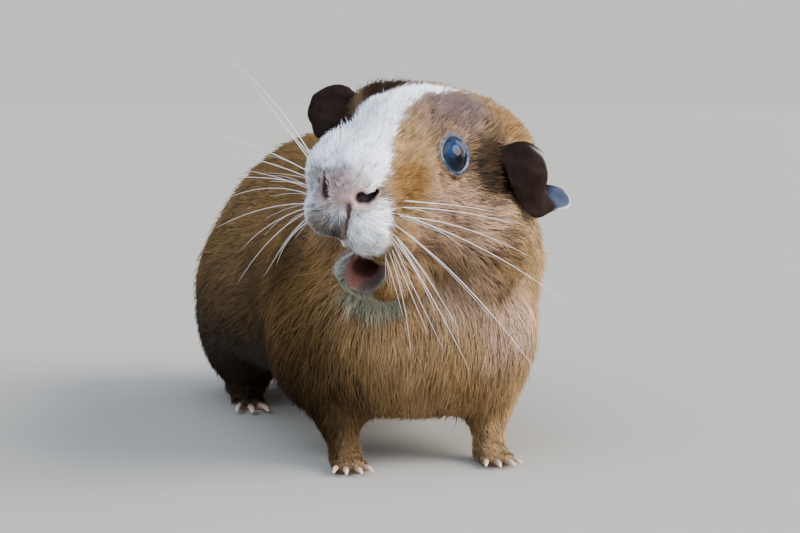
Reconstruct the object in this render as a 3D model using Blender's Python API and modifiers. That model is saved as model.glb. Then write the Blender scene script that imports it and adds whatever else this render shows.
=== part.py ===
"""A guinea pig at life size, standing on four feet with its head turned to its right, raised and calling.

Lengths below are in millimetres and MM turns them into metres. The animal faces -Y, its left is +X and +Z is up.
The whole coat outline is fused from simple forms, and thin curved cuts then part it into its named pieces.
"""

import math

import bmesh
import bpy
from mathutils import Euler, Matrix, Vector

MM = 0.001

# Driving sizes
HEAD_AT = (-8.0, -61.5, 70.3)  # the middle of the head, between the eyes
HEAD_TURN = -35.5  # degrees, about Z, towards the animal's right
HEAD_LIFT = -1.4  # degrees, nose up
HEAD_ROLL = 11.1  # degrees, crown towards the animal's left
EYE_RADIUS = 5.0
EYE_OPENING = 4.4
CROWNS = {  # left and right swell of the crown: centre, radii
    1: ((10.5, 8, 14.5), (9, 12, 8.5)),
    -1: ((-13, 10.5, 14), (9.5, 12, 9.3)),
}
EYES_AT = {1: (11.3, -6.0, 8.7), -1: (-10.7, -4.4, 8.5)}  # left and right, in the head's frame
EYE_OUT = (0.85, -0.44, 0.27)  # the way the left eye faces
FORE_X, FORE_Y = 18.3, -43.0
HIND_X, HIND_Y = 26.0, 56.0
GAP = 0.32  # between neighbouring pieces
EAR_THICKNESS = 1.3
EAR_ROOT = Vector((18, 14, 8))
EAR_CARRIAGE = {1: (0, 1.0), -1: (13, 1.18)}  # side: (degrees raised, spread)
COARSE_VOXEL, FINE_VOXEL = 2.0, 1.0
FACES_WANTED = 2300
FLOOR_DEPTH = 50

COLOURS = {  # colour, roughness
    "ginger_coat": ((0.42, 0.19, 0.065), 0.75),
    "white_coat": ((0.80, 0.80, 0.82), 0.75),
    "ear_skin": ((0.045, 0.028, 0.024), 0.55),
    "nose_skin": ((0.55, 0.30, 0.28), 0.45),
    "eye": ((0.012, 0.010, 0.012), 0.05),
    "foot_skin": ((0.45, 0.22, 0.15), 0.6),
    "claw": ((0.60, 0.48, 0.38), 0.4),
}

# Rows of (y, half width, top, height of the widest place, bottom), tail end first
TRUNK = [
    (100, 19, 50, 29, 15),
    (93, 28, 62, 28, 10),
    (81, 35.5, 73, 27, 7.5),
    (65, 39.5, 79.5, 26, 7.5),
    (46, 41, 82, 26, 9),
    (26, 40, 82, 28, 10),
    (7, 38, 80, 31, 10.5),
    (-12, 36, 78, 34, 11),
    (-30, 34, 75, 36, 11.5),
    (-44, 30.5, 69, 37, 13),
    (-55, 24, 61, 37, 18),
    (-61, 15, 51, 36, 25),
]
# The same in the head's own frame, where the nose points along -Y
HEAD = [
    (41, 18, 12, -3, -18),
    (32, 25.5, 19.5, -4, -24),
    (22, 27, 23.5, -5, -26),
    (13, 26, 25, -5, -26),
    (4, 22.8, 24.6, -4, -24.5),
    (-5, 18.6, 22.6, -3, -21),
    (-13, 15.6, 19, -2.5, -17),
    (-21, 13.2, 14.8, -3.5, -14.5),
    (-27, 11.2, 11, -3.5, -13),
    (-31, 8.6, 7.5, -3, -11),
    (-33.5, 5, 3.5, -2.5, -8),
]


def head_matrix():
    """From the head's own frame to the model's, both in millimetres."""
    turn = Matrix.Rotation(math.radians(HEAD_TURN), 4, "Z")
    lift = Matrix.Rotation(math.radians(HEAD_LIFT), 4, "X")
    roll = Matrix.Rotation(math.radians(HEAD_ROLL), 4, "Y")
    return Matrix.Translation(HEAD_AT) @ turn @ lift @ roll


WORLD = Matrix.Identity(4)
IN_HEAD = head_matrix()


def clear_scene():
    for obj in list(bpy.data.objects):
        bpy.data.objects.remove(obj)


def collection(name):
    made = bpy.data.collections.new(name)
    bpy.context.scene.collection.children.link(made)
    return made


def material(slot):
    colour, roughness = COLOURS[slot]
    made = bpy.data.materials.get(slot) or bpy.data.materials.new(slot)
    made.use_nodes = True
    shader = made.node_tree.nodes["Principled BSDF"]
    shader.inputs["Base Color"].default_value = (*colour, 1)
    shader.inputs["Roughness"].default_value = roughness
    made.diffuse_color = (*colour, 1)
    return made


def new_object(name, mesh, folder):
    obj = bpy.data.objects.new(name, mesh)
    folder.objects.link(obj)
    return obj


def cutter(name, mesh, folder):
    obj = new_object(name, mesh, folder)
    obj.hide_render = True
    obj.display_type = "WIRE"
    return obj


def blend_row(rows, t):
    """The row at place t, from 0 to 1 along the rows, on a Catmull-Rom curve through them."""
    place = t * (len(rows) - 1)
    i = min(int(place), len(rows) - 2)
    f = place - i
    before, a, b, after = (
        rows[max(i - 1, 0)], rows[i], rows[i + 1], rows[min(i + 2, len(rows) - 1)]
    )
    return [
        0.5 * (2 * q + (r - p) * f + (2 * p - 5 * q + 4 * r - s) * f**2
               + (3 * q - p - 3 * r + s) * f**3)
        for p, q, r, s in zip(before, a, b, after)
    ]


def add_loft(bm, rows, frame, bulge, rings=44, sides=40):
    """A closed skin through oval sections, rounded off past its two ends by bulge."""
    made = []
    for k in range(rings + 1):
        y, half, top, widest, bottom = blend_row(rows, k / rings)
        ring = []
        for s in range(sides):
            angle = 2 * math.pi * s / sides
            up = math.sin(angle)
            z = widest + up * ((top - widest) if up > 0 else (widest - bottom))
            ring.append(bm.verts.new(frame @ Vector((half * math.cos(angle), y, z)) * MM))
        made.append(ring)
    for lower, upper in zip(made, made[1:]):
        for s in range(sides):
            n = (s + 1) % sides
            bm.faces.new((lower[s], lower[n], upper[n], upper[s]))
    for ring, row, away in ((made[0], rows[0], bulge), (made[-1], rows[-1], -bulge)):
        tip = bm.verts.new(frame @ Vector((0, row[0] + away, (row[2] + row[4]) / 2)) * MM)
        for s in range(sides):
            bm.faces.new((ring[s], ring[(s + 1) % sides], tip))


def add_ellipsoid(bm, centre, radii, frame=WORLD, turn=(0, 0, 0), segments=28, rings=18):
    turned = Euler([math.radians(a) for a in turn]).to_matrix().to_4x4()
    place = frame @ Matrix.Translation(centre) @ turned @ Matrix.Diagonal((*radii, 1))
    scaled = Matrix.Scale(MM, 4) @ place
    bmesh.ops.create_uvsphere(
        bm, u_segments=segments, v_segments=rings, radius=1, matrix=scaled
    )


def add_limb(bm, points):
    """A round tube through (x, y, z, radius) points, from a bevelled curve."""
    curve = bpy.data.curves.new("limb", "CURVE")
    curve.dimensions = "3D"
    curve.bevel_depth = MM
    curve.bevel_resolution = 3
    curve.use_fill_caps = True
    spline = curve.splines.new("POLY")
    spline.points.add(len(points) - 1)
    for point, (x, y, z, radius) in zip(spline.points, points):
        point.co = (x * MM, y * MM, z * MM, 1)
        point.radius = radius
    helper = bpy.data.objects.new("limb", curve)
    bpy.context.scene.collection.objects.link(helper)
    bpy.context.view_layer.update()
    mesh = bpy.data.meshes.new_from_object(
        helper.evaluated_get(bpy.context.evaluated_depsgraph_get())
    )
    bm.from_mesh(mesh)
    bpy.data.objects.remove(helper)
    bpy.data.meshes.remove(mesh)


def baked(obj):
    """Replaces the object's mesh with the one its modifiers make."""
    bpy.context.view_layer.update()
    graph = bpy.context.evaluated_depsgraph_get()
    mesh = bpy.data.meshes.new_from_object(obj.evaluated_get(graph))
    obj.modifiers.clear()
    obj.data = mesh


def fused(obj, voxel, smoothing, strength=0.5):
    """Joins the object's overlapping closed forms into one skin and softens it."""
    remesh = obj.modifiers.new("fuse", "REMESH")
    remesh.mode = "VOXEL"
    remesh.voxel_size = voxel * MM
    smooth = obj.modifiers.new("soften", "SMOOTH")
    smooth.factor = strength
    smooth.iterations = smoothing
    baked(obj)


def mesh_from(build):
    bm = bmesh.new()
    build(bm)
    bmesh.ops.remove_doubles(bm, verts=bm.verts, dist=1e-6)
    bmesh.ops.recalc_face_normals(bm, faces=bm.faces)
    mesh = bpy.data.meshes.new("form")
    bm.to_mesh(mesh)
    bm.free()
    return mesh


def large_forms(bm):
    """Trunk, neck, head, haunches and legs, overlapping freely."""
    add_loft(bm, TRUNK, WORLD, 3)
    add_loft(bm, HEAD, IN_HEAD, 1)
    add_ellipsoid(bm, (1.8, 26, 2.6), (25.4, 18, 21.8), IN_HEAD)  # nape
    add_ellipsoid(bm, (5.5, -28, 49), (33.4, 25, 27.5))  # neck
    add_ellipsoid(bm, (2, -10, 56), (30, 36, 28))  # withers
    add_ellipsoid(bm, (1, -43, 34), (31, 21, 24))  # breast
    for side in (1, -1):
        add_ellipsoid(bm, (side * 17.5, 15, -11), (13, 17, 15.5), IN_HEAD)  # cheek
        add_ellipsoid(bm, *CROWNS[side], IN_HEAD)
        add_ellipsoid(bm, (side * 25, -30, 30), (10.5, 16, 19))  # shoulder
        add_ellipsoid(bm, (side * 26, 58, 31), (15.5, 29, 27))  # haunch
        add_limb(bm, [
            (side * 21.5, -34, 25, 10.5),
            (side * 20.5, -39, 16.5, 8.6),
            (side * 19, FORE_Y, 9, 5.9),
            (side * FORE_X, FORE_Y - 1, 4, 4.6),
        ])
        add_limb(bm, [
            (side * 27, 56, 24, 12),
            (side * HIND_X, 68, 12, 8),
            (side * HIND_X, 72, 5, 5),
        ])


def fore_toes(side):
    """(root, tip) of the four toes of a forefoot."""
    root = Vector((side * FORE_X, FORE_Y - 3.5, 2.5))
    for spread, reach in ((-27, 8.2), (-9, 9.6), (9, 9.4), (27, 7.8)):
        a = math.radians(spread * side + side * 4)
        start = root + Vector((math.sin(a) * 3.2, -1.0, 0))
        yield start, root + Vector((math.sin(a) * reach, -math.cos(a) * reach, -1.2))


def hind_toes(side):
    """(root, tip) of the three toes of a hind foot."""
    root = Vector((side * (HIND_X + 1), HIND_Y - 8, 3.0))
    for spread, reach in ((-19, 10.5), (0, 12.0), (19, 10.0)):
        a = math.radians(spread * side + side * 6)
        start = root + Vector((math.sin(a) * 4.0, -1.0, 0))
        yield start, root + Vector((math.sin(a) * reach, -math.cos(a) * reach, -1.3))


def small_forms(bm):
    """Muzzle, lips, brows, jaw and toes, which keep a finer shape."""
    add_ellipsoid(bm, (0, -30.3, -1.5), (7.4, 5.0, 5.8), IN_HEAD)
    add_ellipsoid(bm, (0.8, -2, -20.5), (12.5, 16, 7.5), IN_HEAD, (8, 0, 0))
    add_ellipsoid(bm, (1.8, -12.0, -21.0), (7.8, 8.8, 5.6), IN_HEAD, (10, 0, 0))
    add_ellipsoid(bm, (4.8, -27.6, -8.2), (6.2, 6.4, 6.8), IN_HEAD)  # left pad of the muzzle
    add_ellipsoid(bm, (7.2, -19.5, -10.0), (6.4, 9, 6.6), IN_HEAD)
    add_ellipsoid(bm, (-4.8, -27.6, -7.2), (6.4, 6.4, 5.8), IN_HEAD)  # right pad, drawn up by the call
    add_ellipsoid(bm, (-7.2, -19.5, -7.5), (7.8, 9, 5.2), IN_HEAD)
    add_ellipsoid(bm, (-8.2, -16.5, 2.0), (8.6, 12.5, 11.0), IN_HEAD)  # side of the blaze
    for side in (1, -1):
        add_ellipsoid(bm, (side * 10.2, -4.5, 14.2), (6.6, 9, 5.4), IN_HEAD, (0, side * 32, 0))
        add_limb(bm, [
            (side * FORE_X, FORE_Y, 4.6, 4.5),
            (side * FORE_X, FORE_Y - 5.5, 2.8, 4.0),
        ])
        add_ellipsoid(bm, (side * (HIND_X - 0.6), HIND_Y + 18, 4.0), (4.8, 5.5, 4.8))  # heel
        add_limb(bm, [
            (side * (HIND_X - 0.6), HIND_Y + 17, 4.2, 4.8),
            (side * HIND_X, HIND_Y + 3, 3.8, 4.6),
            (side * (HIND_X + 1), HIND_Y - 8, 3.5, 4.8),
        ])
        for root, tip in fore_toes(side):
            add_limb(bm, [(*root, 2.2), (*root.lerp(tip, 0.6), 2.1), (*tip, 1.6)])
        for root, tip in hind_toes(side):
            add_limb(bm, [(*root, 2.9), (*root.lerp(tip, 0.6), 2.6), (*tip, 1.9)])


def open_mouth(bm):
    add_ellipsoid(bm, (1.9, -20.6, -18.6), (5.4, 6.0, 4.9), IN_HEAD, (-38, 0, 0))


def gullet(bm):
    add_ellipsoid(bm, (1.9, -14.5, -17.0), (2.6, 5.5, 2.0), IN_HEAD, (-12, 0, 0))


def eye_centres():
    return [IN_HEAD @ Vector(EYES_AT[side]) for side in (1, -1)]


def eye_openings(bm):
    """Round openings between the lids, from the middle of each eye outwards."""
    for side, centre in zip((1, -1), eye_centres()):
        out = IN_HEAD.to_3x3() @ Vector((side * EYE_OUT[0], EYE_OUT[1], EYE_OUT[2]))
        turn = out.to_track_quat("Z", "Y").to_matrix().to_4x4()
        place = Matrix.Translation(centre + out * 6) @ turn
        bmesh.ops.create_cone(
            bm, cap_ends=True, segments=14, radius1=EYE_OPENING * MM,
            radius2=(EYE_OPENING + 1) * MM, depth=9 * MM, matrix=scaled_place(place),
        )


def below_floor(bm):
    place = Matrix.Translation((0, 0, -FLOOR_DEPTH / 2)) @ Matrix.Diagonal((400, 400, FLOOR_DEPTH, 1))
    bmesh.ops.create_cube(bm, size=1, matrix=Matrix.Scale(MM, 4) @ place)


def cut(target, tool, operation="DIFFERENCE"):
    boolean = target.modifiers.new("cut", "BOOLEAN")
    boolean.operation = operation
    boolean.solver = "EXACT"
    boolean.object = tool
    baked(target)


def add_claw(bm, root, tip, radius, length, grow=0.0):
    """A short cone past the toe's tip, bent a little down. grow widens it, for its socket."""
    ahead = (tip - root).normalized()
    ahead = Vector((ahead.x, ahead.y, -0.10)).normalized()
    start = tip - ahead * (0.6 + grow)
    reach = length + grow
    turn = ahead.to_track_quat("Z", "Y").to_matrix().to_4x4()
    place = Matrix.Translation(start + ahead * reach / 2) @ turn
    bmesh.ops.create_cone(
        bm, cap_ends=True, segments=6, radius1=(radius + grow) * MM,
        radius2=(0.28 + grow) * MM, depth=reach * MM, matrix=scaled_place(place),
    )


def scaled_place(place):
    """The same turn, with its place in metres."""
    return Matrix.Translation(place.to_translation() * MM) @ place.to_3x3().to_4x4()


def claws():
    """(name, root, tip, radius, length) of every claw."""
    for side, hand in ((1, "left"), (-1, "right")):
        for n, (root, tip) in enumerate(fore_toes(side), 1):
            yield f"claw_fore_{hand}_{n}", root, tip, 0.85, 4.0
        for n, (root, tip) in enumerate(hind_toes(side), 1):
            yield f"claw_hind_{hand}_{n}", root, tip, 1.05, 5.6


# Each piece is carved from its parent by an ellipsoid: centre, radii and the frame they are in.
# The list is in the order of the cuts, since a later piece may come out of an earlier one.
def carvings():
    yield "head", "trunk", "ginger_coat", (0, -5, -1), (46, 39, 30), IN_HEAD
    yield "lower_jaw", "head", "white_coat", (1.8, -11.5, -24.4), (10.3, 13.0, 8.6), IN_HEAD
    yield "nose", "head", "nose_skin", (0, -34.5, -1.8), (7.4, 4.6, 6.2), IN_HEAD
    yield "neck", "trunk", "ginger_coat", (0, -62, 72), (66, 44, 38), WORLD
    yield "hindquarters", "trunk", "ginger_coat", (0, 100, 50), (90, 76, 100), WORLD
    for side, hand in ((1, "left"), (-1, "right")):
        leg, foot = f"foreleg_{hand}", f"forefoot_{hand}"
        yield leg, "trunk", "ginger_coat", (side * 19.5, -42, 4), (11.5, 13, 24), WORLD
        yield foot, leg, "foot_skin", (side * FORE_X, FORE_Y - 9, 0), (10, 12.5, 8.2), WORLD
        leg, foot = f"hind_leg_{hand}", f"hind_foot_{hand}"
        yield leg, "hindquarters", "ginger_coat", (side * 29, 58, 6), (17, 34, 33), WORLD
        yield foot, leg, "foot_skin", (side * HIND_X, HIND_Y - 1, 0), (11, 29, 10.5), WORLD


def islands(obj):
    """The object's separate bodies, as new meshes with the volume of each."""
    bm = bmesh.new()
    bm.from_mesh(obj.data)
    unseen = set(bm.verts)
    while unseen:
        group, todo = set(), [unseen.pop()]
        while todo:
            vert = todo.pop()
            group.add(vert)
            near = [e.other_vert(vert) for e in vert.link_edges]
            todo += [v for v in near if v in unseen]
            unseen.difference_update(near)
        part = bmesh.new()
        copied = {v: part.verts.new(v.co) for v in group}
        for face in {f for v in group for f in v.link_faces}:
            part.faces.new([copied[v] for v in face.verts])
        mesh = bpy.data.meshes.new("piece")
        volume = part.calc_volume()
        part.to_mesh(mesh)
        part.free()
        yield mesh, volume
    bm.free()


def keep_largest(obj):
    obj.data = max(islands(obj), key=lambda item: item[1])[0]


def carve(pieces, name, parent, slot, centre, radii, frame, folder, tools):
    """Takes a piece out of its parent, with half of GAP lost on each side of the cut."""
    piece = new_object(name, pieces[parent].data.copy(), folder)
    for target, growth, operation in (
        (piece, -GAP / 2, "INTERSECT"), (pieces[parent], GAP / 2, "DIFFERENCE")
    ):
        form = mesh_from(lambda bm: add_ellipsoid(
            bm, centre, [r + growth for r in radii], frame, segments=12, rings=8
        ))
        cut(target, cutter(f"cut_{name}_{operation.lower()}", form, tools), operation)
        keep_largest(target)
    piece.data.materials.clear()
    piece.data.materials.append(material(slot))
    pieces[name] = piece


# The left ear in the head's frame, as rows from its front root round to its back root.
# Each row runs from the head out over the fold to the free rim.
EAR_ROWS = [
    ((17.0, 6.0, 12.0), (18.9, 5.6, 13.6), (19.8, 5.0, 12.4)),
    ((19.0, 12.0, 11.5), (22.2, 9.6, 14.2), (21.9, 5.4, 9.2)),
    ((20.5, 15.5, 8.5), (26.2, 12.4, 13.8), (24.4, 7.6, 5.4)),
    ((21.5, 17.5, 5.0), (29.4, 15.2, 9.4), (27.6, 11.4, 1.8)),
    ((22.5, 18.5, 1.5), (29.2, 19.0, 4.2), (33.2, 24.0, 2.2)),
    ((22.5, 17.5, -3.0), (27.4, 18.2, -2.2), (30.4, 19.8, -3.0)),
]


def ear_sheet(side):
    """The ear as a sheet, lifted about its root and spread as far as its side carries it."""
    raised, spread = EAR_CARRIAGE[side]
    lift = Matrix.Rotation(math.radians(-raised), 3, "Y")

    def build(bm):
        across, along = 12, 5
        grid = []
        for k in range(across + 1):
            row = blend_points(EAR_ROWS, k / across)
            line = []
            for j in range(along + 1):
                t = j / along
                point = row[0] * (1 - t) ** 2 + control(row) * 2 * t * (1 - t) + row[2] * t**2
                point = EAR_ROOT + lift @ (point - EAR_ROOT) * spread
                line.append(bm.verts.new(IN_HEAD @ Vector((side * point.x, point.y, point.z)) * MM))
            grid.append(line)
        for a, b in zip(grid, grid[1:]):
            for j in range(along):
                bm.faces.new((a[j], a[j + 1], b[j + 1], b[j]))

    return mesh_from(build)


def control(row):
    """The middle control point of a curved row, so that the row passes through its middle point."""
    return row[1] * 2 - (row[0] + row[2]) / 2


def blend_points(rows, t):
    flat = [[c for point in row for c in point] for row in rows]
    made = blend_row(flat, t)
    return [Vector(made[3 * k : 3 * k + 3]) for k in range(3)]


def make_ear(name, side, head, folder, tools):
    ear = new_object(name, ear_sheet(side), folder)
    solid = ear.modifiers.new("thickness", "SOLIDIFY")
    solid.thickness = EAR_THICKNESS * MM
    solid.offset = 0
    baked(ear)
    swollen = cutter(f"cut_{name}", head.data.copy(), tools)
    grow = swollen.modifiers.new("gap", "DISPLACE")
    grow.strength = GAP * MM
    grow.mid_level = 0
    baked(swollen)
    cut(ear, swollen)
    keep_largest(ear)
    ear.data.materials.clear()
    ear.data.materials.append(material("ear_skin"))
    return ear


def make_eye(name, centre, folder):
    def build(bm):
        add_ellipsoid(bm, centre, (EYE_RADIUS,) * 3, segments=14, rings=9)

    obj = new_object(name, mesh_from(build), folder)
    obj.data.materials.append(material("eye"))


def simplify(obj, faces):
    """Triangulates the object and lowers it to about that many faces, most of them where it curves."""
    reduce = obj.modifiers.new("reduce", "DECIMATE")
    reduce.ratio = min(1, faces / (2 * len(obj.data.polygons)))
    baked(obj)


def build():
    clear_scene()
    animal, tools = collection("guinea_pig"), collection("cutters")
    body = new_object("body", mesh_from(large_forms), animal)
    fused(body, COARSE_VOXEL, 16)
    bm = bmesh.new()
    bm.from_mesh(body.data)
    small_forms(bm)
    bmesh.ops.remove_doubles(bm, verts=bm.verts, dist=1e-6)
    bm.to_mesh(body.data)
    bm.free()
    fused(body, FINE_VOXEL, 3)
    simplify(body, FACES_WANTED)

    cut(body, cutter("cut_floor", mesh_from(below_floor), tools))
    cut(body, cutter("cut_mouth", mesh_from(open_mouth), tools))
    cut(body, cutter("cut_gullet", mesh_from(gullet), tools))
    sockets = mesh_from(lambda bm: [
        add_ellipsoid(bm, c, (EYE_RADIUS + GAP,) * 3, segments=14, rings=9) for c in eye_centres()
    ])
    cut(body, cutter("cut_eyes", sockets, tools))
    cut(body, cutter("cut_lids", mesh_from(eye_openings), tools))
    claw_beds = mesh_from(lambda bm: [
        add_claw(bm, root, tip, radius, length, GAP) for _, root, tip, radius, length in claws()
    ])
    cut(body, cutter("cut_claws", claw_beds, tools))
    body.name = "trunk"
    pieces = {"trunk": body}
    body.data.materials.clear()
    body.data.materials.append(material("ginger_coat"))
    for carving in carvings():
        carve(pieces, *carving, animal, tools)

    for side, hand, centre in zip((1, -1), ("left", "right"), eye_centres()):
        make_eye(f"eye_{hand}", centre, animal)
        make_ear(f"ear_{hand}", side, pieces["head"], animal, tools)
    for name, root, tip, radius, length in claws():
        obj = new_object(
            name, mesh_from(lambda bm: add_claw(bm, root, tip, radius, length)), animal
        )
        obj.data.materials.append(material("claw"))

    for obj in animal.objects:
        obj.data.shade_smooth()
    stand_over_origin(animal.objects)


def stand_over_origin(objects):
    """Moves everything so that the middle of its footprint is at X = Y = 0."""
    spots = [v.co for obj in objects for v in obj.data.vertices]
    low, high = (Vector([pick(p[k] for p in spots) for k in range(3)]) for pick in (min, max))
    shift = Matrix.Translation((-(low.x + high.x) / 2, -(low.y + high.y) / 2, 0))
    for obj in objects:
        obj.data.transform(shift)


build()
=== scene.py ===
"""The looks of a life-size guinea pig that stands, its head turned to its right, raised and calling.

Lengths in this script are in millimetres, and MM turns them into the frame's metres. The head has a
frame of its own, with the nose along -Y, its left at +X and its crown at +Z: H below stands for it, and
W for the frame of the model. Points in the head's frame are called q. One skin replaces all the nodes of
flesh and lies inside them by the depth of the coat. The coat is made of thin closed tufts with their
roots in that skin, which follow the lie of the hair.
"""

import math
from contextlib import contextmanager

import bmesh
import bpy
import numpy as np
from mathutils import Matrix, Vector
from mathutils.bvhtree import BVHTree
from mathutils.kdtree import KDTree


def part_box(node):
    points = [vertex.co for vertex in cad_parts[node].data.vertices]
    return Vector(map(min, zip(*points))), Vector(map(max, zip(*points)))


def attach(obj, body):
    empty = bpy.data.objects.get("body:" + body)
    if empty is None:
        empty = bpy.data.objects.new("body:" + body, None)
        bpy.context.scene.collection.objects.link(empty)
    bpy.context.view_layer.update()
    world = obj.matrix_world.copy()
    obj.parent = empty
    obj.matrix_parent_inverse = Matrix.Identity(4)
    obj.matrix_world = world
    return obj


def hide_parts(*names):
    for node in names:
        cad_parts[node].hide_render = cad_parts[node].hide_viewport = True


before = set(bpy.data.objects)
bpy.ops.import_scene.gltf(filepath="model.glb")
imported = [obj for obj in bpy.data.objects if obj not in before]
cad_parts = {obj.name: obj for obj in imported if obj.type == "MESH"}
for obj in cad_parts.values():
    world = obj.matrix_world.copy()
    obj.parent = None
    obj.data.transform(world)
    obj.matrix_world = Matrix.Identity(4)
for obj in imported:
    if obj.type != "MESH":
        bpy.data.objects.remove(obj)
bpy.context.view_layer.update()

MM = 0.001
H, W = "head", "world"

# The head's frame
HEAD_TURN = -35.5  # degrees, about Z
HEAD_LIFT = -1.4  # degrees, about X
HEAD_ROLL = 11.1  # degrees, about Y
EYES_MIDDLE = (0.3, -5.2, 8.6)  # halfway between the eyes

# Eyes and lids
EYE_RADIUS = 5.0
CORNEA = 0.22  # how far it stands out from the ball
SOCKET = 0.3  # from the ball to the skin round it, before the lids are shaped
PUPIL_EDGE, IRIS_EDGE, RIM_EDGE = (19, 25), (38, 44), (46, 52)  # degrees off the axis
LID_DEPTH = 0.9  # of the skin's edge, tucked in behind the ball's surface
LID_REACH = 10.5  # from the middle of the eye, to where the skin is left as it is
LID_CREASE = (17, 5.0)  # degrees out from the lids' edge, and its half width in degrees
LID_CREASE_DEPTH = 0.28
EYE_OUT = (0.89, -0.37, 0.26)  # the way the left eye faces
LID_LINE = (  # turn round the eye from its front over its top, degrees off its axis, height of the lid
    (0, 53, 0.3), (30, 56, 0.3), (60, 57, 0.3), (90, 58, 0.4), (120, 57, 0.6), (150, 56, 0.8),
    (180, 54, 0.95), (210, 51, 0.85), (240, 49, 0.5), (270, 47, 0.35), (300, 46, 0.3), (330, 48, 0.3),
)

# Skin
VOXEL = 1.25
INFLATION = 0.25  # closes the thin gaps between the nodes of flesh
NOSE_TIP = (0.0, -36.0, -3.0)
MOUTH = (  # centre, radii and turn about X in degrees: the open mouth, the throat behind it, its end
    ((1.9, -20.6, -18.6), (5.4, 6.0, 4.9), -38),
    ((1.9, -14.5, -17.0), (2.6, 5.5, 2.0), -12),
    ((0.8, -12.0, -19.0), (4.2, 7.5, 4.2), 0),
)
MOUTH_EDGE, LIP_DEPTH = -0.14, 0.2  # how deep hair may reach into the mouth, and off the upper lip
NOSTRILS = (  # the slit's line from its inner to its outer end, the way it runs in, width, depth
    (
        ((4.2, -34.2, -2.2), (5.1, -33.4, -2.3), (5.9, -32.5, -1.4), (6.4, -31.8, -0.2)),
        (-0.35, 1, 0.15), 1.35, 3.0,
    ),
    (((-4.6, -33.9, -3.0), (-5.6, -32.9, -1.0), (-6.8, -31.5, 1.0)), (-0.1, 1, 0.1), 1.2, 1.8),
)
NOSE_PAD = ((0.6, -36.0, -3.0), (2.8, 3.2, 1.7))  # centre and radii of the bare skin
NOSE_BLUSH = ((0.2, -35.0, -1.4), (7.2, 5.0, 5.6))  # and of the pink
GULLET = (1.0, -14.5, -19.0)
GULLET_RADII = (2.6, 6.0, 2.0)
GULLET_PUSH = (0, 5.5, 0.8)
GULLET_SHADE = (3.4, 4.5, 3.2)  # radii of the painted shade deep in it
JAW_CORNER = ((8.0, -13.0, -22.0), (8, 9, 8))  # centre and radii of a part that is smoothed most
FACE = ((0, 2, -2), (32, 40, 30))  # centre and radii of the part whose mesh is halved
FACE_SHARE = 0.92  # of those radii
FINE_BALLS = (((1, -31, -6), 11), ((1.5, -20, -18), 10))  # centres and radii, halved once more
FINE_EYE = (9, 115)  # the same round each eye: reach from its middle, degrees off its axis
PASSES = {"fused": 14, "halved": 5, "fine": 6, "all": 2, "jaw": 30}  # of smoothing
GROUND_COAT = 0.35  # most depth of coat within 3 mm of the ground
WING_HEIGHT = 0.45  # round each nostril
CLEFT_RIDGE, CLEFT_DEPTH = 0.25, 1.5
PHILTRUM = ((1.6, -35.6, -4.6), (1.3, -34.8, -8.0), (1.0, -33.0, -11.8), (0.5, -30.0, -14.8))

# The ears in the head's frame, by side and as if both were on the left, as rows from the front root
# round to the back root. Each row runs from the head out over the fold to the free rim.
EAR_ROWS = {
    1: (
        ((16.0, 8.5, 10.0), (17.4, 8.5, 11.0), (18.4, 7.8, 9.6)),
        ((18.5, 12.5, 10.5), (22.1, 11.2, 13.8), (21.3, 8.0, 8.2)),
        ((20.5, 15.5, 8.5), (27.4, 12.6, 13.3), (24.2, 7.6, 4.2)),
        ((21.5, 17.5, 5.0), (29.6, 15.6, 9.1), (26.3, 10.0, 0.5)),
        ((22.2, 18.2, 3.0), (29.3, 17.0, 5.1), (29.7, 13.0, -2.2)),
        ((22.5, 18.8, 1.2), (30.0, 18.5, 2.5), (32.7, 18.0, -0.1)),
        ((22.5, 19.8, 1.0), (30.2, 20.8, 2.9), (34.7, 23.0, 1.6)),
        ((22.5, 20.8, 2.0), (28.8, 22.8, 4.3), (31.8, 24.5, 4.6)),
        ((22.0, 21.0, 4.0), (26.7, 22.8, 4.4), (27.6, 23.5, 5.1)),
    ),
    -1: (
        ((16.0, 8.5, 10.0), (17.6, 8.3, 10.3), (18.5, 9.0, 10.0)),
        ((18.0, 11.5, 9.0), (24.4, 10.7, 8.0), (28.5, 13.0, 5.2)),
        ((19.5, 14.0, 8.0), (27.3, 12.9, 9.0), (32.6, 15.0, 8.1)),
        ((20.5, 16.5, 8.0), (28.9, 15.2, 10.5), (35.0, 17.0, 11.2)),
        ((20.5, 18.5, 9.5), (28.8, 17.1, 12.9), (34.8, 19.0, 14.6)),
        ((19.5, 20.0, 12.0), (27.4, 18.9, 15.5), (32.9, 21.0, 17.2)),
        ((18.0, 20.5, 14.0), (25.0, 19.6, 17.1), (29.6, 22.0, 18.3)),
        ((17.0, 20.5, 15.0), (22.1, 20.9, 16.4), (26.7, 22.0, 17.3)),
    ),
}
EAR_THICKNESS = 0.9
EAR_QUADS = (72, 40)  # from the front root to the back root, and from the head to the rim
EAR_LOBE_PATCH = (EAR_ROWS[1][6][2], (9, 7, 9))  # centre and radii of the painted sky reflection on the left lobe
EAR_FOLD = (0.55, 0.028)  # place and half width of the painted highlight along the left fold, from head to rim
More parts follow.
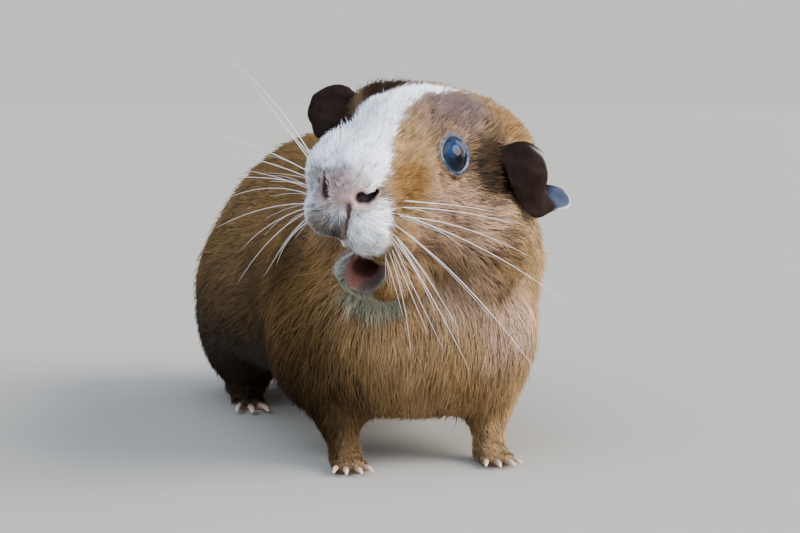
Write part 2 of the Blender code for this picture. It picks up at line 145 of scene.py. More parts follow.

# The coat, as places that it blends between. Each has its frame, centre, reach, whether the other side
# has it too, the lie of the hair, and the tufts' length, width, depth of coat and number per square mm.
AWAY = None  # the hair lies away from the tip of the nose
BACK = (0, 1, -0.42)
DOWN = (0, 0.1, -1)
COAT = {
    "bridge": (H, (0, -25, 5), 7, False, AWAY, 2.6, 0.17, 0.7, 10.0),
    "muzzle": (H, (6, -28, -8), 7, True, AWAY, 2.5, 0.17, 0.7, 10.0),
    "chin": (H, (1.5, -16, -27), 6, False, AWAY, 4.2, 0.20, 1.2, 7.0),
    "forehead": (H, (0, -4, 21), 12, False, AWAY, 4.8, 0.19, 1.3, 6.8),
    "temple": (H, (-12, -16, 13), 7, False, AWAY, 6.0, 0.18, 3.6, 8.0),
    "fringe": (H, (-12, 5, 20), 6, False, AWAY, 9.0, 0.19, 3.6, 5.5),
    "crown": (H, (0, 20, 25), 14, False, AWAY, 7.5, 0.24, 1.9, 3.8),
    "face": (H, (16, -12, -2), 10, True, AWAY, 3.9, 0.17, 1.1, 8.0),
    "ear_base": (H, (19, 7, 9), 6, True, AWAY, 8.0, 0.20, 2.6, 6.5),
    "cheek": (H, (25, 10, -12), 14, True, AWAY, 6.8, 0.20, 1.7, 5.4),
    "throat": (H, (2, 0, -31), 10, False, AWAY, 7.0, 0.21, 2.0, 4.6),
    "chest": (W, (2, -62, 36), 20, False, DOWN, 10.5, 0.27, 2.6, 3.0),
    "nape": (W, (0, -22, 82), 18, False, BACK, 9.5, 0.28, 2.4, 2.6),
    "shoulder": (W, (35, -30, 42), 18, True, (0, 0.6, -0.8), 10.5, 0.29, 2.6, 2.4),
    "back": (W, (0, 30, 82), 45, False, BACK, 12.0, 0.33, 3.0, 1.8),
    "flank": (W, (42, 30, 40), 38, True, BACK, 12.0, 0.33, 3.0, 1.8),
    "rump": (W, (0, 96, 44), 32, False, (0, 0.3, -1), 12.0, 0.33, 3.0, 1.8),
    "belly": (W, (0, 5, 9), 32, False, (0, 1, 0), 9.0, 0.36, 2.4, 1.1),
    "foreleg": (W, (19, -48, 14), 8, True, (0, 0.05, -1), 4.6, 0.22, 1.3, 4.5),
    "forefoot": (W, (18, -55, 3), 6, True, (0, -1, -0.3), 1.7, 0.16, 0.45, 8.0),
    "hind_leg": (W, (28, 68, 14), 11, True, (0, 0.1, -1), 6.5, 0.26, 1.5, 2.8),
    "hind_foot": (W, (27, 54, 4), 12, True, (0, -1, -0.2), 1.7, 0.18, 0.45, 6.5),
}
# Coat pieces: the places that each holds, and the frame, centre and pole of the unwrap of its skin
PIECES = {
    "coat_muzzle": (("bridge", "muzzle", "chin"), H, (0, -12, -5), (0, -1, 0)),
    "coat_face": (("forehead", "face", "temple", "ear_base", "fringe"), H, (0, 0, -2), (0, -1, 0)),
    "coat_cheeks": (("cheek",), H, (0, 6, -4), (0, -1, 0)),
    "coat_neck": (("crown", "throat", "nape"), H, (0, 20, -4), (0, -1, 0)),
    "coat_chest": (("chest", "shoulder"), W, (0, -20, 40), (0, -1, 0)),
    "coat_back": (("back",), W, (0, 20, 36), (0, 0, 1)),
    "coat_flanks": (("flank",), W, (0, 20, 40), (0, 0, 1)),
    "coat_rump": (("rump",), W, (0, 40, 40), (0, 1, 0)),
    "coat_belly": (("belly",), W, (0, 0, 40), (0, 0, -1)),
    "coat_legs": (("foreleg", "forefoot", "hind_leg", "hind_foot"), W, (0, 0, 40), (0, 0, -1)),
}
MOST_TUFTS = 19000  # in one piece, which keeps it under 200,000 triangles
STRAYS = 0.035  # the share of tufts that stand out from the coat
STRAY_LENGTH, STRAY_TURN, STRAY_LIFT = 1.25, 2.0, 1.5  # as shares of the others'
TUFT_SIZES = (0.85, 1.0)  # its width at the root and halfway, as shares of the width above
TUFT_HEIGHT = 0.6  # as a share of its width
LOCK = 9  # tufts in a lock
LOCK_STREAKS = ((22, 3, 7), (14, 22, 18))  # centre and radii of where the locks vary most, by side
TUFT_SHADES = (0.62, 0.62, 0.62, 0.98, 0.98, 0.98, 1.12)  # at the root, the middle and the tip
UV_TUFT = 0.003  # size of a tuft on the unwrap

# Colours, linear
GINGER = np.array((0.296, 0.187, 0.087))
# the rear's darker coat, kept darker still as painted shade on the shaded flank
RUSSET = np.array((0.185, 0.103, 0.037))
GOLDEN = np.array((0.145, 0.072, 0.015))
# dark hairs and stripes, and painted shade on the rear, the right neck and chest and before the ears
UMBER = np.array((0.020, 0.010, 0.003))
# painted sheen: the face's hair paled as if it mirrored the sky
TAN = np.array((0.285, 0.180, 0.123))
# painted light: a paler tan where parts facing down or away are to look lit
PAINTED_LIGHT_TAN = np.array((0.450, 0.300, 0.205))
# painted sheen: the bluish sky mirrored in the hair of the brow and crown
SKY_SHEEN_MAUVE = np.array((0.115, 0.075, 0.068))
# white hair; its blue tint is painted sky light
WHITE = np.array((0.91, 0.95, 1.0))
# the bib's cream, darkened as painted shade on the white low on the head and the left lip pad
CREAM_AND_SHADE = np.array((0.3, 0.3, 0.23))
EAR_BROWN = np.array((0.012, 0.007, 0.005))
# painted sky reflection on the left ear's lobe
LOBE_SKY_REFLECTION = np.array((0.045, 0.055, 0.088))
# painted highlight on the lobe's rim and the left fold
EAR_PAINTED_HIGHLIGHT = np.array((0.62, 0.60, 0.54))
NOSE_PINK = np.array((0.365, 0.244, 0.213))
# painted shade deep in the nostrils
NOSTRIL_PIT_SHADE = np.array((0.020, 0.012, 0.012))
# painted shade on the white of the muzzle's right side
MUZZLE_SHADE = np.array((0.125, 0.1, 0.08))
# painted shade in recesses: by the right nostril and down the lip's cleft
PAINTED_RECESS_SHADE = np.array((0.035, 0.023, 0.018))
LIP_PINK = np.array((0.155, 0.078, 0.062))
MOUTH_RED = np.array((0.174, 0.070, 0.052))
MOUTH_SHADE = np.array((0.056, 0.050, 0.043))
# painted shade deep in the mouth
GULLET_PAINTED_SHADE = np.array((0.09, 0.034, 0.028))
LID_GREY = np.array((0.013, 0.025, 0.052))
SOLE_PINK = np.array((0.42, 0.22, 0.17))
PUPIL = np.array((0.002, 0.002, 0.003))
IRIS_LOW = np.array((0.003, 0.006, 0.011))
# painted reflection: the blue of the sky in the iris's upper part
IRIS_SKY_REFLECTION = np.array((0.005, 0.022, 0.070))
IRIS_RING = np.array((0.018, 0.030, 0.050))
EYE_RIM = np.array((0.006, 0.010, 0.020))
CLAW_ROOT = np.array((0.30, 0.17, 0.12))
CLAW_TIP = np.array((0.55, 0.46, 0.36))
WHISKER_TINT = np.array((0.86, 0.79, 0.78))
UNDER_GINGER = np.array((0.62, 0.58, 0.55))  # the skin's colour as a share of the coat's over it
UNDER_WHITE = np.array((0.90, 0.87, 0.87))
FLOOR_GREY = (0.33, 0.311, 0.275, 1)

# The camera stands off the left eye by this much. Its pitch and turn are in degrees.
CAMERA_OFF_EYE = (-111.498, -404.931, 12.894)
CAMERA_PITCH, CAMERA_TURN = 84.82, -14.0
CAMERA_LENS, SENSOR = 82.35, 36.0

HORIZON = (0.79, 0.795, 0.79)
SKY = (  # height, from 0 straight down to 1 overhead, and the colour there
    (0.0, HORIZON), (0.54, HORIZON), (0.60, (0.08, 0.09, 0.10)), (0.80, (0.12, 0.14, 0.17)),
    (1.0, (0.14, 0.18, 0.23)),
)
SKY_TOWARDS = (-0.25, -0.50, 0.83)  # the way to the blue part of the sky, which the eyes mirror
SKY_BLUE = (2.9, 3.5, 4.5, 1)
SKY_BLUE_EDGES = (46, 20)  # degrees off that way where the blue starts, and where it is full
SUNS = {  # the way to each soft light, its strength, spread in degrees and colour
    "key": ((0.75, -0.45, 0.50), 6.8, 45, (1.0, 0.96, 0.94)),
    "side": ((0.90, 0.25, 0.35), 2.7, 60, (1.0, 0.96, 0.97)),
    "fill": ((0.50, -0.85, 0.12), 1.6, 60, (1.0, 0.98, 1.0)),
    "left": ((-0.70, -0.50, 0.60), 1.1, 60, (0.88, 0.94, 1.0)),
}

rng = np.random.default_rng(7)


# ---- small helpers ----

def unit(v):
    return v / np.maximum(np.linalg.norm(v, axis=-1, keepdims=True), 1e-9)


def smooth(low, high, x):
    """0 below low, 1 above high, and a soft step between them."""
    t = np.clip((x - low) / (high - low), 0, 1)
    return t * t * (3 - 2 * t)


def hump(x, place, width):
    """1 at the place and falling to 0 on both sides of it."""
    return np.exp(-(((x - place) / width) ** 2))


def mix(a, b, amount):
    """From a to b, each one value, one colour or one row for each point."""
    amount = np.asarray(amount)[..., None]
    return a * (1 - amount) + b * amount


def rotation(degrees, axis):
    c, s = math.cos(math.radians(degrees)), math.sin(math.radians(degrees))
    i, j = {"X": (1, 2), "Y": (2, 0), "Z": (0, 1)}[axis]
    turn = np.eye(3)
    turn[i, i] = turn[j, j] = c
    turn[i, j], turn[j, i] = -s, s
    return turn


def noise(points, size, seed):
    """Smooth noise from -1 to 1, with lumps of about size millimetres."""
    table = np.random.default_rng(seed).uniform(-1, 1, (32, 32, 32))
    cell = np.floor(points / size).astype(int)
    f = points / size - cell
    f = f * f * (3 - 2 * f)
    total = np.zeros(len(points))
    for corner in np.ndindex(2, 2, 2):
        i, j, k = ((cell + corner) % 32).T
        total += np.prod(np.where(corner, f, 1 - f), axis=1) * table[i, j, k]
    return total


def box_centre(node):
    low, high = (np.array(corner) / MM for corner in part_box(node))
    return (low + high) / 2


HEAD = rotation(HEAD_TURN, "Z") @ rotation(HEAD_LIFT, "X") @ rotation(HEAD_ROLL, "Y")
EYE_CENTRES = {1: box_centre("eye_left"), -1: box_centre("eye_right")}
HEAD_AT = (EYE_CENTRES[1] + EYE_CENTRES[-1]) / 2 - HEAD @ np.array(EYES_MIDDLE)


def to_head(points):
    """Points of the model's frame in the head's."""
    return (points - HEAD_AT) @ HEAD


def from_head(points):
    """Points of the head's frame in the model's."""
    return np.asarray(points, float) @ HEAD.T + HEAD_AT


def placed(where, point):
    """A point of the head's frame or the model's, in the model's."""
    return from_head(point) if where == H else np.array(point, float)


def eye_axis(side):
    return unit(HEAD @ np.array((side * EYE_OUT[0], EYE_OUT[1], EYE_OUT[2])))


def share_out(points, centre, radii):
    """Each point's distance from a centre as a share of the radii."""
    return np.linalg.norm((points - centre) / np.array(radii), axis=1)


def bow(start, middle, end, t):
    """The place t, from 0 to 1, on a curve from start to end that is at the middle halfway."""
    bend = middle * 2 - (start + end) / 2
    return start * (1 - t) ** 2 + bend * 2 * t * (1 - t) + end * t**2


def line_distance(points, line):
    """Each point's distance to a line of straight stretches, and how far along it that is, 0 to 1."""
    line = np.array(line, float)
    best = np.full(len(points), 1e9)
    along = np.zeros(len(points))
    for k, (a, b) in enumerate(zip(line, line[1:])):
        t = np.clip((points - a) @ (b - a) / ((b - a) @ (b - a)), 0, 1)
        gap = np.linalg.norm(points - a - t[:, None] * (b - a), axis=1)
        nearer = gap < best
        best = np.where(nearer, gap, best)
        along = np.where(nearer, (k + t) / (len(line) - 1), along)
    return best, along


def mouth_depth(q):
    """Above 0 inside the open mouth: how far in, as a share of its radii."""
    inside = []
    for centre, radii, turn in MOUTH:
        inside.append(1 - share_out((q - centre) @ rotation(turn, "X"), 0, radii))
    return np.max(inside, axis=0)


def eye_angle(points, side):
    """Degrees between an eye's axis and each point, seen from the eye's middle, and the distance."""
    away = points - EYE_CENTRES[side]
    far = np.linalg.norm(away, axis=1)
    cosine = (away @ eye_axis(side)) / np.maximum(far, 1e-9)
    return np.degrees(np.arccos(np.clip(cosine, -1, 1))), far


def lid_gap(points, side):
    """Degrees from the lids' edge out to each point, the distance from the eye and the lids' height."""
    angle, far = eye_angle(points, side)
    front = side * unit(np.cross(eye_axis(side), HEAD @ np.array((0, 0, 1))))
    up = side * np.cross(front, eye_axis(side))
    away = points - EYE_CENTRES[side]
    turn = np.degrees(np.arctan2(away @ up, away @ front))
    turns, edges, heights = zip(*LID_LINE)
    edge = np.interp(turn, turns, edges, period=360)
    return angle - edge, far, np.interp(turn, turns, heights, period=360)


# ---- where the coat changes ----

def coat_places():
    """(name, centre, reach, lie, values) of each place of the coat, on both sides where it has two."""
    for name, (where, centre, reach, both, lie, *values) in COAT.items():
        for side in (1, -1) if both else (1,):
            spot = placed(where, (centre[0] * side, centre[1], centre[2]))
            yield name, spot, reach, lie, np.array(values)


def coat_weights(points):
    closeness = np.stack([
        -((points - spot) ** 2).sum(axis=1) / reach**2 for _, spot, reach, _, _ in coat_places()
    ])
    weights = np.exp(closeness - closeness.max(axis=0))
    return weights / weights.sum(axis=0)


def coat_values(points):
    """Length, width, depth and density of the coat at each point, as four rows."""
    table = np.stack([values for *_, values in coat_places()])
    return table.T @ coat_weights(points)


def coat_lie(points, normals):
    """The way the hair lies at each point, along the skin."""
    away = unit(points - from_head(NOSE_TIP))
    lie = np.zeros_like(points)
    for weight, (_, _, _, direction, _) in zip(coat_weights(points), coat_places()):
        lie += weight[:, None] * (away if direction is AWAY else unit(np.array(direction, float)))
    swirl = np.stack([noise(points, 14, seed) for seed in (21, 22, 23)], axis=1)
    lie = unit(lie) + 0.22 * swirl
    for side in (1, -1):
        gap, far, _ = lid_gap(points, side)
        around = unit(points - EYE_CENTRES[side])
        lie += around * (0.9 * (1 - smooth(0, 45, gap)) * (far < 12))[:, None]
    return unit(lie - normals * (lie * normals).sum(axis=1, keepdims=True))


def seen_gap(q, line, way):
    """Each point's distance from a line on the nose, seen along the way, and how far along that is."""
    way = unit(np.array(way, float))
    line = np.array(line, float)
    gap, along = line_distance(q - (q @ way)[:, None] * way, line - (line @ way)[:, None] * way)
    return np.where(q[:, 1] < -26, gap, 1e3), along


def slit(q, nostril):
    """Each point's distance from a nostril's line as a share of its half width there."""
    line, way, width, _ = nostril
    gap, along = seen_gap(q, line, way)
    return gap / (width * (1.1 - 0.65 * along))


def cleft(q):
    """Each point's distance from the middle of the upper lip, and how far down that it is."""
    return seen_gap(q, PHILTRUM, (0, 1, 0.3))


def nose_tint(q):
    """How pink the nose is: most between the nostrils, fading into the white above and below."""
    tint = 1 - smooth(0.3, 1.15, share_out(q, *NOSE_BLUSH))
    for nostril in NOSTRILS:
        tint = np.maximum(tint, 1 - smooth(1.2, 2.6, slit(q, nostril)))
    return np.maximum(tint, 0.75 * (1 - smooth(0.6, 2.2, cleft(q)[0])))


def nose_pad(q):
    """1 on the bare skin between and around the nostrils and down the lip's cleft, 0 on the coat."""
    pad = 1 - smooth(0.7, 1.2, share_out(q, *NOSE_PAD))
    for nostril in NOSTRILS:
        pad = np.maximum(pad, 1 - smooth(1.15, 1.55, slit(q, nostril)))
    return np.maximum(pad, 1 - smooth(0.5, 1.0, cleft(q)[0]))


def lining(q, n):
    """1 on the mouth's lining and lips, 0 on the coat."""
    depth = mouth_depth(q)
    inward = (unit(MOUTH[0][0] - q) * n).sum(axis=1)
    inside = smooth(-0.34, -0.22, depth) * smooth(0.05, 0.35, inward)
    return np.maximum(inside, smooth(-0.20, -0.12, depth)) * (q[:, 2] < -9) * (q[:, 1] < -4)


def lids(points):
    """1 on the bare rims of the eyes, 0 on the coat."""
    rim = np.zeros(len(points))
    for side in (1, -1):
        gap, far, _ = lid_gap(points, side)
        rim = np.maximum(rim, (1 - smooth(4, 7, gap)) * (far < EYE_RADIUS + 2))
    return rim


def soles(points, normals):
    """1 on the skin that faces the ground there, 0 on the coat."""
    low = 1 - smooth(0.8, 1.6, points[:, 2])
    return low * smooth(0.3, 0.7, -normals[:, 2])


def furless(points, normals):
    """1 on all bare skin, 0 on the coat."""
    q = to_head(points)
    bare = (nose_pad(q), lining(q, normals @ HEAD), lids(points), soles(points, normals))
    return np.max(bare, axis=0)


# ---- markings, with painted light and shade ----

BLAZE_LEFT = (  # places along the head, and how far to its left the blaze reaches there
    (-34, 6.0), (-31, 6.2), (-29, 6.8), (-26, 4.6), (-19, 2.7),
    (-13, 2.2), (-5, 2.4), (0, 3.8), (8, 6.0), (40, 5),
)
BLAZE_RIGHT = (  # the same for its other edge
    (-36, -14), (-28, -15.5), (-20, -15), (-12, -11.5), (-8, -9),
    (-5, -5.5), (-2, -2.5), (3, 1.5), (8, 5.5), (40, 6),
)
PATCHES = (  # centre, radii and softness of the white pads, chin and throat, in the head's frame
    ((2.0, -31.5, -8.5), (7.6, 7.0, 9.2), 0.12),
    ((-6.5, -27.5, -8.0), (10.0, 10.0, 10.0), 0.12),
    ((-2.3, -17.0, -21.5), (6.6, 9.0, 8.0), 0.16),
    ((-1.0, -7.0, -25.5), (8.5, 8.5, 4.6), 0.25),
)


def white_share(points):
    """1 where the coat is white, 0 where it is ginger, with a ragged edge."""
    q = to_head(points)
    ragged = 0.9 * noise(points, 2.2, 31) + 0.7 * noise(points, 6.0, 32)
    left = np.interp(q[:, 1], *zip(*BLAZE_LEFT)) + ragged
    right = np.interp(q[:, 1], *zip(*BLAZE_RIGHT)) + ragged
    blaze = smooth(-0.7, 0.7, left - q[:, 0]) * smooth(-0.7, 0.7, q[:, 0] - right)
    share = blaze * smooth(-4, 0, q[:, 2])
    for centre, radii, soft in PATCHES:
        gap = share_out(q, centre, radii) + ragged * 0.05
        share = np.maximum(share, 1 - smooth(1 - soft, 1 + soft, gap))
    _, far = eye_angle(points, -1)
    return share * smooth(EYE_RADIUS + 1.5, EYE_RADIUS + 3.5, far)


def near(q, centre, radii):
    """1 at the centre of a soft patch of the head's frame, falling to 0 at its edge."""
    return 1 - smooth(0.2, 1, share_out(q, centre, radii))


NOSE_SHADES = (  # colour, centre, radii and strength of the painted shade on the white of the muzzle, on its right side, by the right nostril and in the lip's cleft; the last is the nose's own pink
    (MUZZLE_SHADE, (-4.4, -31.5, -8.5), (5.6, 7.0, 6.6), 0.95),
    (MUZZLE_SHADE, (-3.2, -34.0, 0.8), (4.4, 5.0, 4.0), 0.95),
    (PAINTED_RECESS_SHADE, (-6.4, -32.3, -0.4), (2.8, 4.2, 4.4), 1.0),
    (PAINTED_RECESS_SHADE, (-1.7, -30.8, -11.4), (3.0, 5.0, 4.4), 0.95),
    (PAINTED_RECESS_SHADE, (-0.6, -32.3, -9.2), (2.4, 4.5, 4.5), 0.85),
    (MUZZLE_SHADE, (-8.9, -28.2, -0.8), (3.6, 4.5, 5.5), 0.75),
    (NOSE_PINK, (0.5, -33.6, 1.5), (7.0, 5.0, 5.0), 0.7),
)
NOSTRIL_SHADE = ((-4.6, -32.4, -0.9), (6.3, 6.0, 5.0))  # centre and radii of the painted shade by the right nostril
TINTS = (  # colour, centre, radii, strength and whether on both sides, from the nose to the chest
    # painted sheen of the sky on the face and cheeks
    (TAN, (17, -8, -3), (15, 24, 19), 0.85, True),
    # painted light on the lower cheek, which faces down
    (PAINTED_LIGHT_TAN, (17, 2, -22), (13, 16, 11), 0.8, False),
    # painted highlight down the left of the neck and chest
    (PAINTED_LIGHT_TAN, (25, 20, -26), (12, 15, 13), 1.0, False),
    # painted sheen of the sky on the brow and crown
    (SKY_SHEEN_MAUVE, (9, -2, 20), (15, 28, 14), 1.0, True),
    (GOLDEN, (10.5, -25, 3), (7, 11, 10), 1.0, True),
    (GOLDEN, (14, -9, 16), (5, 6, 4), 0.6, True),
    (GOLDEN, (17.5, 14, 17), (9, 14, 9), 1.0, True),
    (GOLDEN, (6.5, -16, -24.5), (5, 6, 5), 0.8, True),
    # partly darker hair before each ear, partly painted shade in the hollow there
    (UMBER, (18, 3, 8), (7.5, 10, 10), 1.7, True),
    (UMBER, (9.5, -7, 16.5), (2.5, 9, 3.5), 0.45, True),
    (UMBER, (24, 6, -11), (4, 8, 7), 0.4, True),
    (UMBER, (-10.5, 6, 19), (9, 14, 9), 1.4, False),
    # painted shade on the animal's right neck and chest, the side away from the light
    (UMBER, (-26, 11, -23), (15, 14, 13), 0.65, False),
    (UMBER, (-42, 28, -33), (22, 24, 15), 0.5, False),
)


def rear_share(points):
    """1 on the russet rear, 0 on the ginger front: partly the rear's darker coat, partly painted shade.
    On the animal's right, the side in shade, the rear starts earlier as painted shade.
    """
    drift = points[:, 1] + 8 * noise(points, 15, 42)
    return np.maximum(smooth(-45, -5, 0.85 * drift - 1.3 * points[:, 0]), smooth(-35, 10, drift))


def coat_colour(points):
    """The colour of the hair rooted at each point, with painted light, sheen and shade in places."""
    q = to_head(points)
    patchy = 1 + 0.35 * noise(points, 6, 44)
    rear = rear_share(points)
    colour = mix(GINGER, GOLDEN, np.clip(0.15 + 0.25 * noise(points, 9, 41), 0, 1))
    # partly the rear's russet coat, partly painted shade on the flank
    colour = mix(colour, RUSSET, rear)
    # painted shade: the rear darker towards the ground
    colour = mix(colour, UMBER, rear * 0.95 * (1 - smooth(22, 60, points[:, 2])))
    mirrored = np.stack((np.abs(q[:, 0]), q[:, 1], q[:, 2]), axis=1)
    for tint, centre, radii, strength, both in TINTS:
        share = strength * near(mirrored if both else q, centre, radii) * patchy
        colour = mix(colour, tint, np.clip(share, 0, 1))
    dark_hairs = 0.06 + 0.18 * noise(points, 3.2, 43) + 0.10 * noise(points, 17, 45)
    colour = mix(colour, UMBER, np.clip(dark_hairs, 0, 1))
    # partly cream hair, partly painted shade: the white greyer low under the head and on the left lip
    # pad
    cream_and_shade = 1 - smooth(-22, -13, q[:, 2]) + 0.55 * near(q, (3, -28, -12), (9, 9, 9))
    white = mix(WHITE, CREAM_AND_SHADE, np.clip(cream_and_shade, 0, 1))
    for shade, centre, radii, strength in NOSE_SHADES:
        white = mix(white, shade, strength * near(q, centre, radii))
    colour = mix(colour, white, white_share(points))
    return mix(colour, NOSE_PINK * 0.85, nose_tint(q) * 0.75)


def mouth_colour(q):
    """Pink lips, dark along the left one, and a redder lining with painted shade that deepens towards
    the gullet.
    """
    inside = mouth_depth(q)
    colour = mix(LIP_PINK, MOUTH_RED, smooth(-0.08, 0.15, inside))
    streaks = 0.85 + 0.2 * np.sin(q[:, 0] * 5)
    shade = smooth(0.4, 2.4, q[:, 0]) * streaks * smooth(-0.28, -0.12, inside)
    colour = mix(colour, MOUTH_SHADE, np.clip(shade, 0, 1))
    # painted shade: the lining darkens deep in the gullet
    lit = smooth(0.7, 1.25, share_out(q, GULLET, GULLET_SHADE)) * (1 - smooth(-17, -13, q[:, 1]))
    return mix(GULLET_PAINTED_SHADE, colour, lit)


def skin_colour(points, normals, pits):
    """The skin's colour: a darker shade of the hair's under the coat, and its own where it is bare, with
    painted shade by the right nostril, down the lip's cleft and in the nostrils.
    """
    q = to_head(points)
    under = coat_colour(points) * mix(UNDER_GINGER, UNDER_WHITE, white_share(points))
    colour = mix(under, NOSE_PINK, nose_tint(q))
    # painted shade by the right nostril and down the lip's cleft
    colour = mix(colour, PAINTED_RECESS_SHADE, 0.85 * near(q, *NOSTRIL_SHADE))
    colour = mix(colour, PAINTED_RECESS_SHADE, 0.8 * (1 - smooth(0.3, 0.9, cleft(q)[0])))
    # painted shade in the nostrils' pits
    colour = mix(colour, NOSTRIL_PIT_SHADE, pits)
    colour = mix(colour, mouth_colour(q), lining(q, normals @ HEAD))
    lid = LID_GREY * (1 + 0.6 * noise(points, 0.7, 47))[:, None]
    colour = mix(colour, lid, lids(points))
    return mix(colour, SOLE_PINK, soles(points, normals))


# ---- meshes ----

def read(items, what, width, kind=float):
    """One row of a mesh's values for each item."""
    flat = np.empty(len(items) * width, kind)
    items.foreach_get(what, flat)
    return flat.reshape(-1, width)


def coordinates(mesh):
    return read(mesh.vertices, "co", 3) / MM


def set_coordinates(mesh, points):
    mesh.vertices.foreach_set("co", (points * MM).ravel())
    mesh.update()


def normals_of(mesh):
    return read(mesh.vertices, "normal", 3)


PULL_IN, PUSH_OUT = 0.5, -0.52


def relaxed(points, mesh, steps, amount=None):
    """Smooths without shrinking, in passes that pull in and push out, by an amount for each point."""
    edges = read(mesh.edges, "vertices", 2, np.int64)
    a, b = np.concatenate((edges, edges[:, ::-1])).T
    count = np.maximum(np.bincount(a, minlength=len(points)), 1)[:, None]
    amount = np.ones(len(points)) if amount is None else amount
    for step in range(2 * steps):
        mean = np.stack([
            np.bincount(a, weights=points[b, k], minlength=len(points)) for k in range(3)
        ], axis=1) / count
        factor = PULL_IN if step % 2 == 0 else PUSH_OUT
        points = points + (mean - points) * (factor * amount)[:, None]
    return points


def add_object(name, mesh):
    obj = bpy.data.objects.new(name, mesh)
    bpy.context.scene.collection.objects.link(obj)
    return obj


def mesh_of(name, points, tris):
    """A smooth mesh from an array of points and one of triangles."""
    mesh = bpy.data.meshes.new(name)
    mesh.vertices.add(len(points))
    mesh.vertices.foreach_set("co", (points * MM).astype(np.float32).ravel())
    mesh.loops.add(tris.size)
    mesh.loops.foreach_set("vertex_index", tris.astype(np.int32).ravel())
    mesh.polygons.add(len(tris))
    mesh.polygons.foreach_set("loop_start", np.arange(0, tris.size, 3, dtype=np.int32))
    mesh.update(calc_edges=True)
    mesh.shade_smooth()
    return mesh


@contextmanager
def edited(mesh):
    """The mesh's forms to edit, which are written back at the end."""
    bm = bmesh.new()
    bm.from_mesh(mesh)
    yield bm
    bm.to_mesh(mesh)
    bm.free()


def paint(mesh, colours):
    """Stores a colour, or a colour and one more value as its alpha, for each vertex."""
    if colours.shape[1] == 3:
        colours = np.concatenate((colours, np.ones((len(colours), 1))), axis=1)
    layer = mesh.color_attributes.new("colour", "FLOAT_COLOR", "POINT")
    layer.data.foreach_set("color", np.clip(colours, 0, 1).astype(np.float32).ravel())


# ---- skin ----

FLESH = [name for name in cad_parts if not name.startswith(("eye_", "claw_", "ear_"))]
EARS = ["ear_left", "ear_right"]


def joined_flesh():
    """All the flesh, each node grown a little so that it runs into its neighbours."""
    joined = bmesh.new()
    for name in FLESH:
        bm = bmesh.new()
        bm.from_mesh(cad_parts[name].data)
        bmesh.ops.remove_doubles(bm, verts=bm.verts, dist=1e-6)
        bm.normal_update()
        moved = [v.co + v.normal * INFLATION * MM for v in bm.verts]
        for vert, place in zip(bm.verts, moved):
            vert.co = place
        grown = bpy.data.meshes.new("grown")
        bm.to_mesh(grown)
        bm.free()
        joined.from_mesh(grown)
        bpy.data.meshes.remove(grown)
    for centre in EYE_CENTRES.values():
        radius = (EYE_RADIUS + SOCKET) * MM
        made = bmesh.ops.create_uvsphere(joined, u_segments=32, v_segments=20, radius=radius)
        bmesh.ops.translate(joined, verts=made["verts"], vec=Vector(centre * MM))
    mesh = bpy.data.meshes.new("flesh")
    joined.to_mesh(mesh)
    joined.free()
    return mesh


def leave_largest_shell(bm):
    """Deletes every part that is joined to the largest one by no edge."""
    unseen = set(bm.verts)
    shells = []
    while unseen:
        todo = [unseen.pop()]
        shell = list(todo)
        while todo:
            vert = todo.pop()
            near_by = {e.other_vert(vert) for e in vert.link_edges} & unseen
            unseen -= near_by
            todo.extend(near_by)
            shell.extend(near_by)
        shells.append(shell)
    shells.sort(key=len)
    for shell in shells[:-1]:
        bmesh.ops.delete(bm, geom=shell, context="VERTS")


def fused(mesh):
    """One closed skin round overlapping forms, without the small hollows left inside."""
    obj = add_object("flesh", mesh)
    remesh = obj.modifiers.new("fuse", "REMESH")
    remesh.mode = "VOXEL"
    remesh.voxel_size = VOXEL * MM
    graph = bpy.context.evaluated_depsgraph_get()
    result = bpy.data.meshes.new_from_object(obj.evaluated_get(graph))
    bpy.data.objects.remove(obj)
    with edited(result) as bm:
        leave_largest_shell(bm)
    return result


def refined(mesh, chosen):
    """Halves the faces whose middle is chosen."""
    with edited(mesh) as bm:
        middles = np.array([face.calc_center_median() for face in bm.faces]) / MM
        halved = [face for face, wanted in zip(bm.faces, chosen(middles)) if wanted]
        edges = {edge for face in halved for edge in face.edges}
        bmesh.ops.subdivide_edges(bm, edges=list(edges), cuts=1, use_grid_fill=True)


def head_part(points):
    """Whether each point is on the head, where the skin has a finer mesh."""
    return share_out(to_head(points), *FACE) < FACE_SHARE


def fine_part(points):
    """Whether each point is near the nose, the mouth or the front of an eye."""
    q = to_head(points)
    fine = np.zeros(len(points), bool)
    for centre, radius in FINE_BALLS:
        fine |= np.linalg.norm(q - centre, axis=1) < radius
    for side in (1, -1):
        angle, far = eye_angle(points, side)
        fine |= (far < FINE_EYE[0]) & (angle < FINE_EYE[1])
    return fine


def sculpt_lids(points):
    """Tucks the skin in behind each eye's front and rolls a lid round its opening."""
    for side in (1, -1):
        gap, far, height = lid_gap(points, side)
        around = unit(points - EYE_CENTRES[side])
        hidden = EYE_RADIUS - LID_DEPTH
        rim = EYE_RADIUS + height
        radius = hidden + (rim - hidden) * smooth(-5, 0, gap) + 0.4 * smooth(0, 9, gap)
        crease = -LID_CREASE_DEPTH * hump(gap, *LID_CREASE)
        outside = smooth(8, 34, gap)
        most = EYE_RADIUS + 0.9 + height + 0.055 * gap
        wanted = radius * (1 - outside) + np.clip(far, EYE_RADIUS + 0.6, most) * outside + crease
        touched = (far < LID_REACH) & (gap < 50)
        fade = (1 - smooth(LID_REACH - 3, LID_REACH, far)) * touched
        moved = EYE_CENTRES[side] + around * wanted[:, None]
        points = np.where(touched[:, None], mix(points, moved, fade), points)
    return points


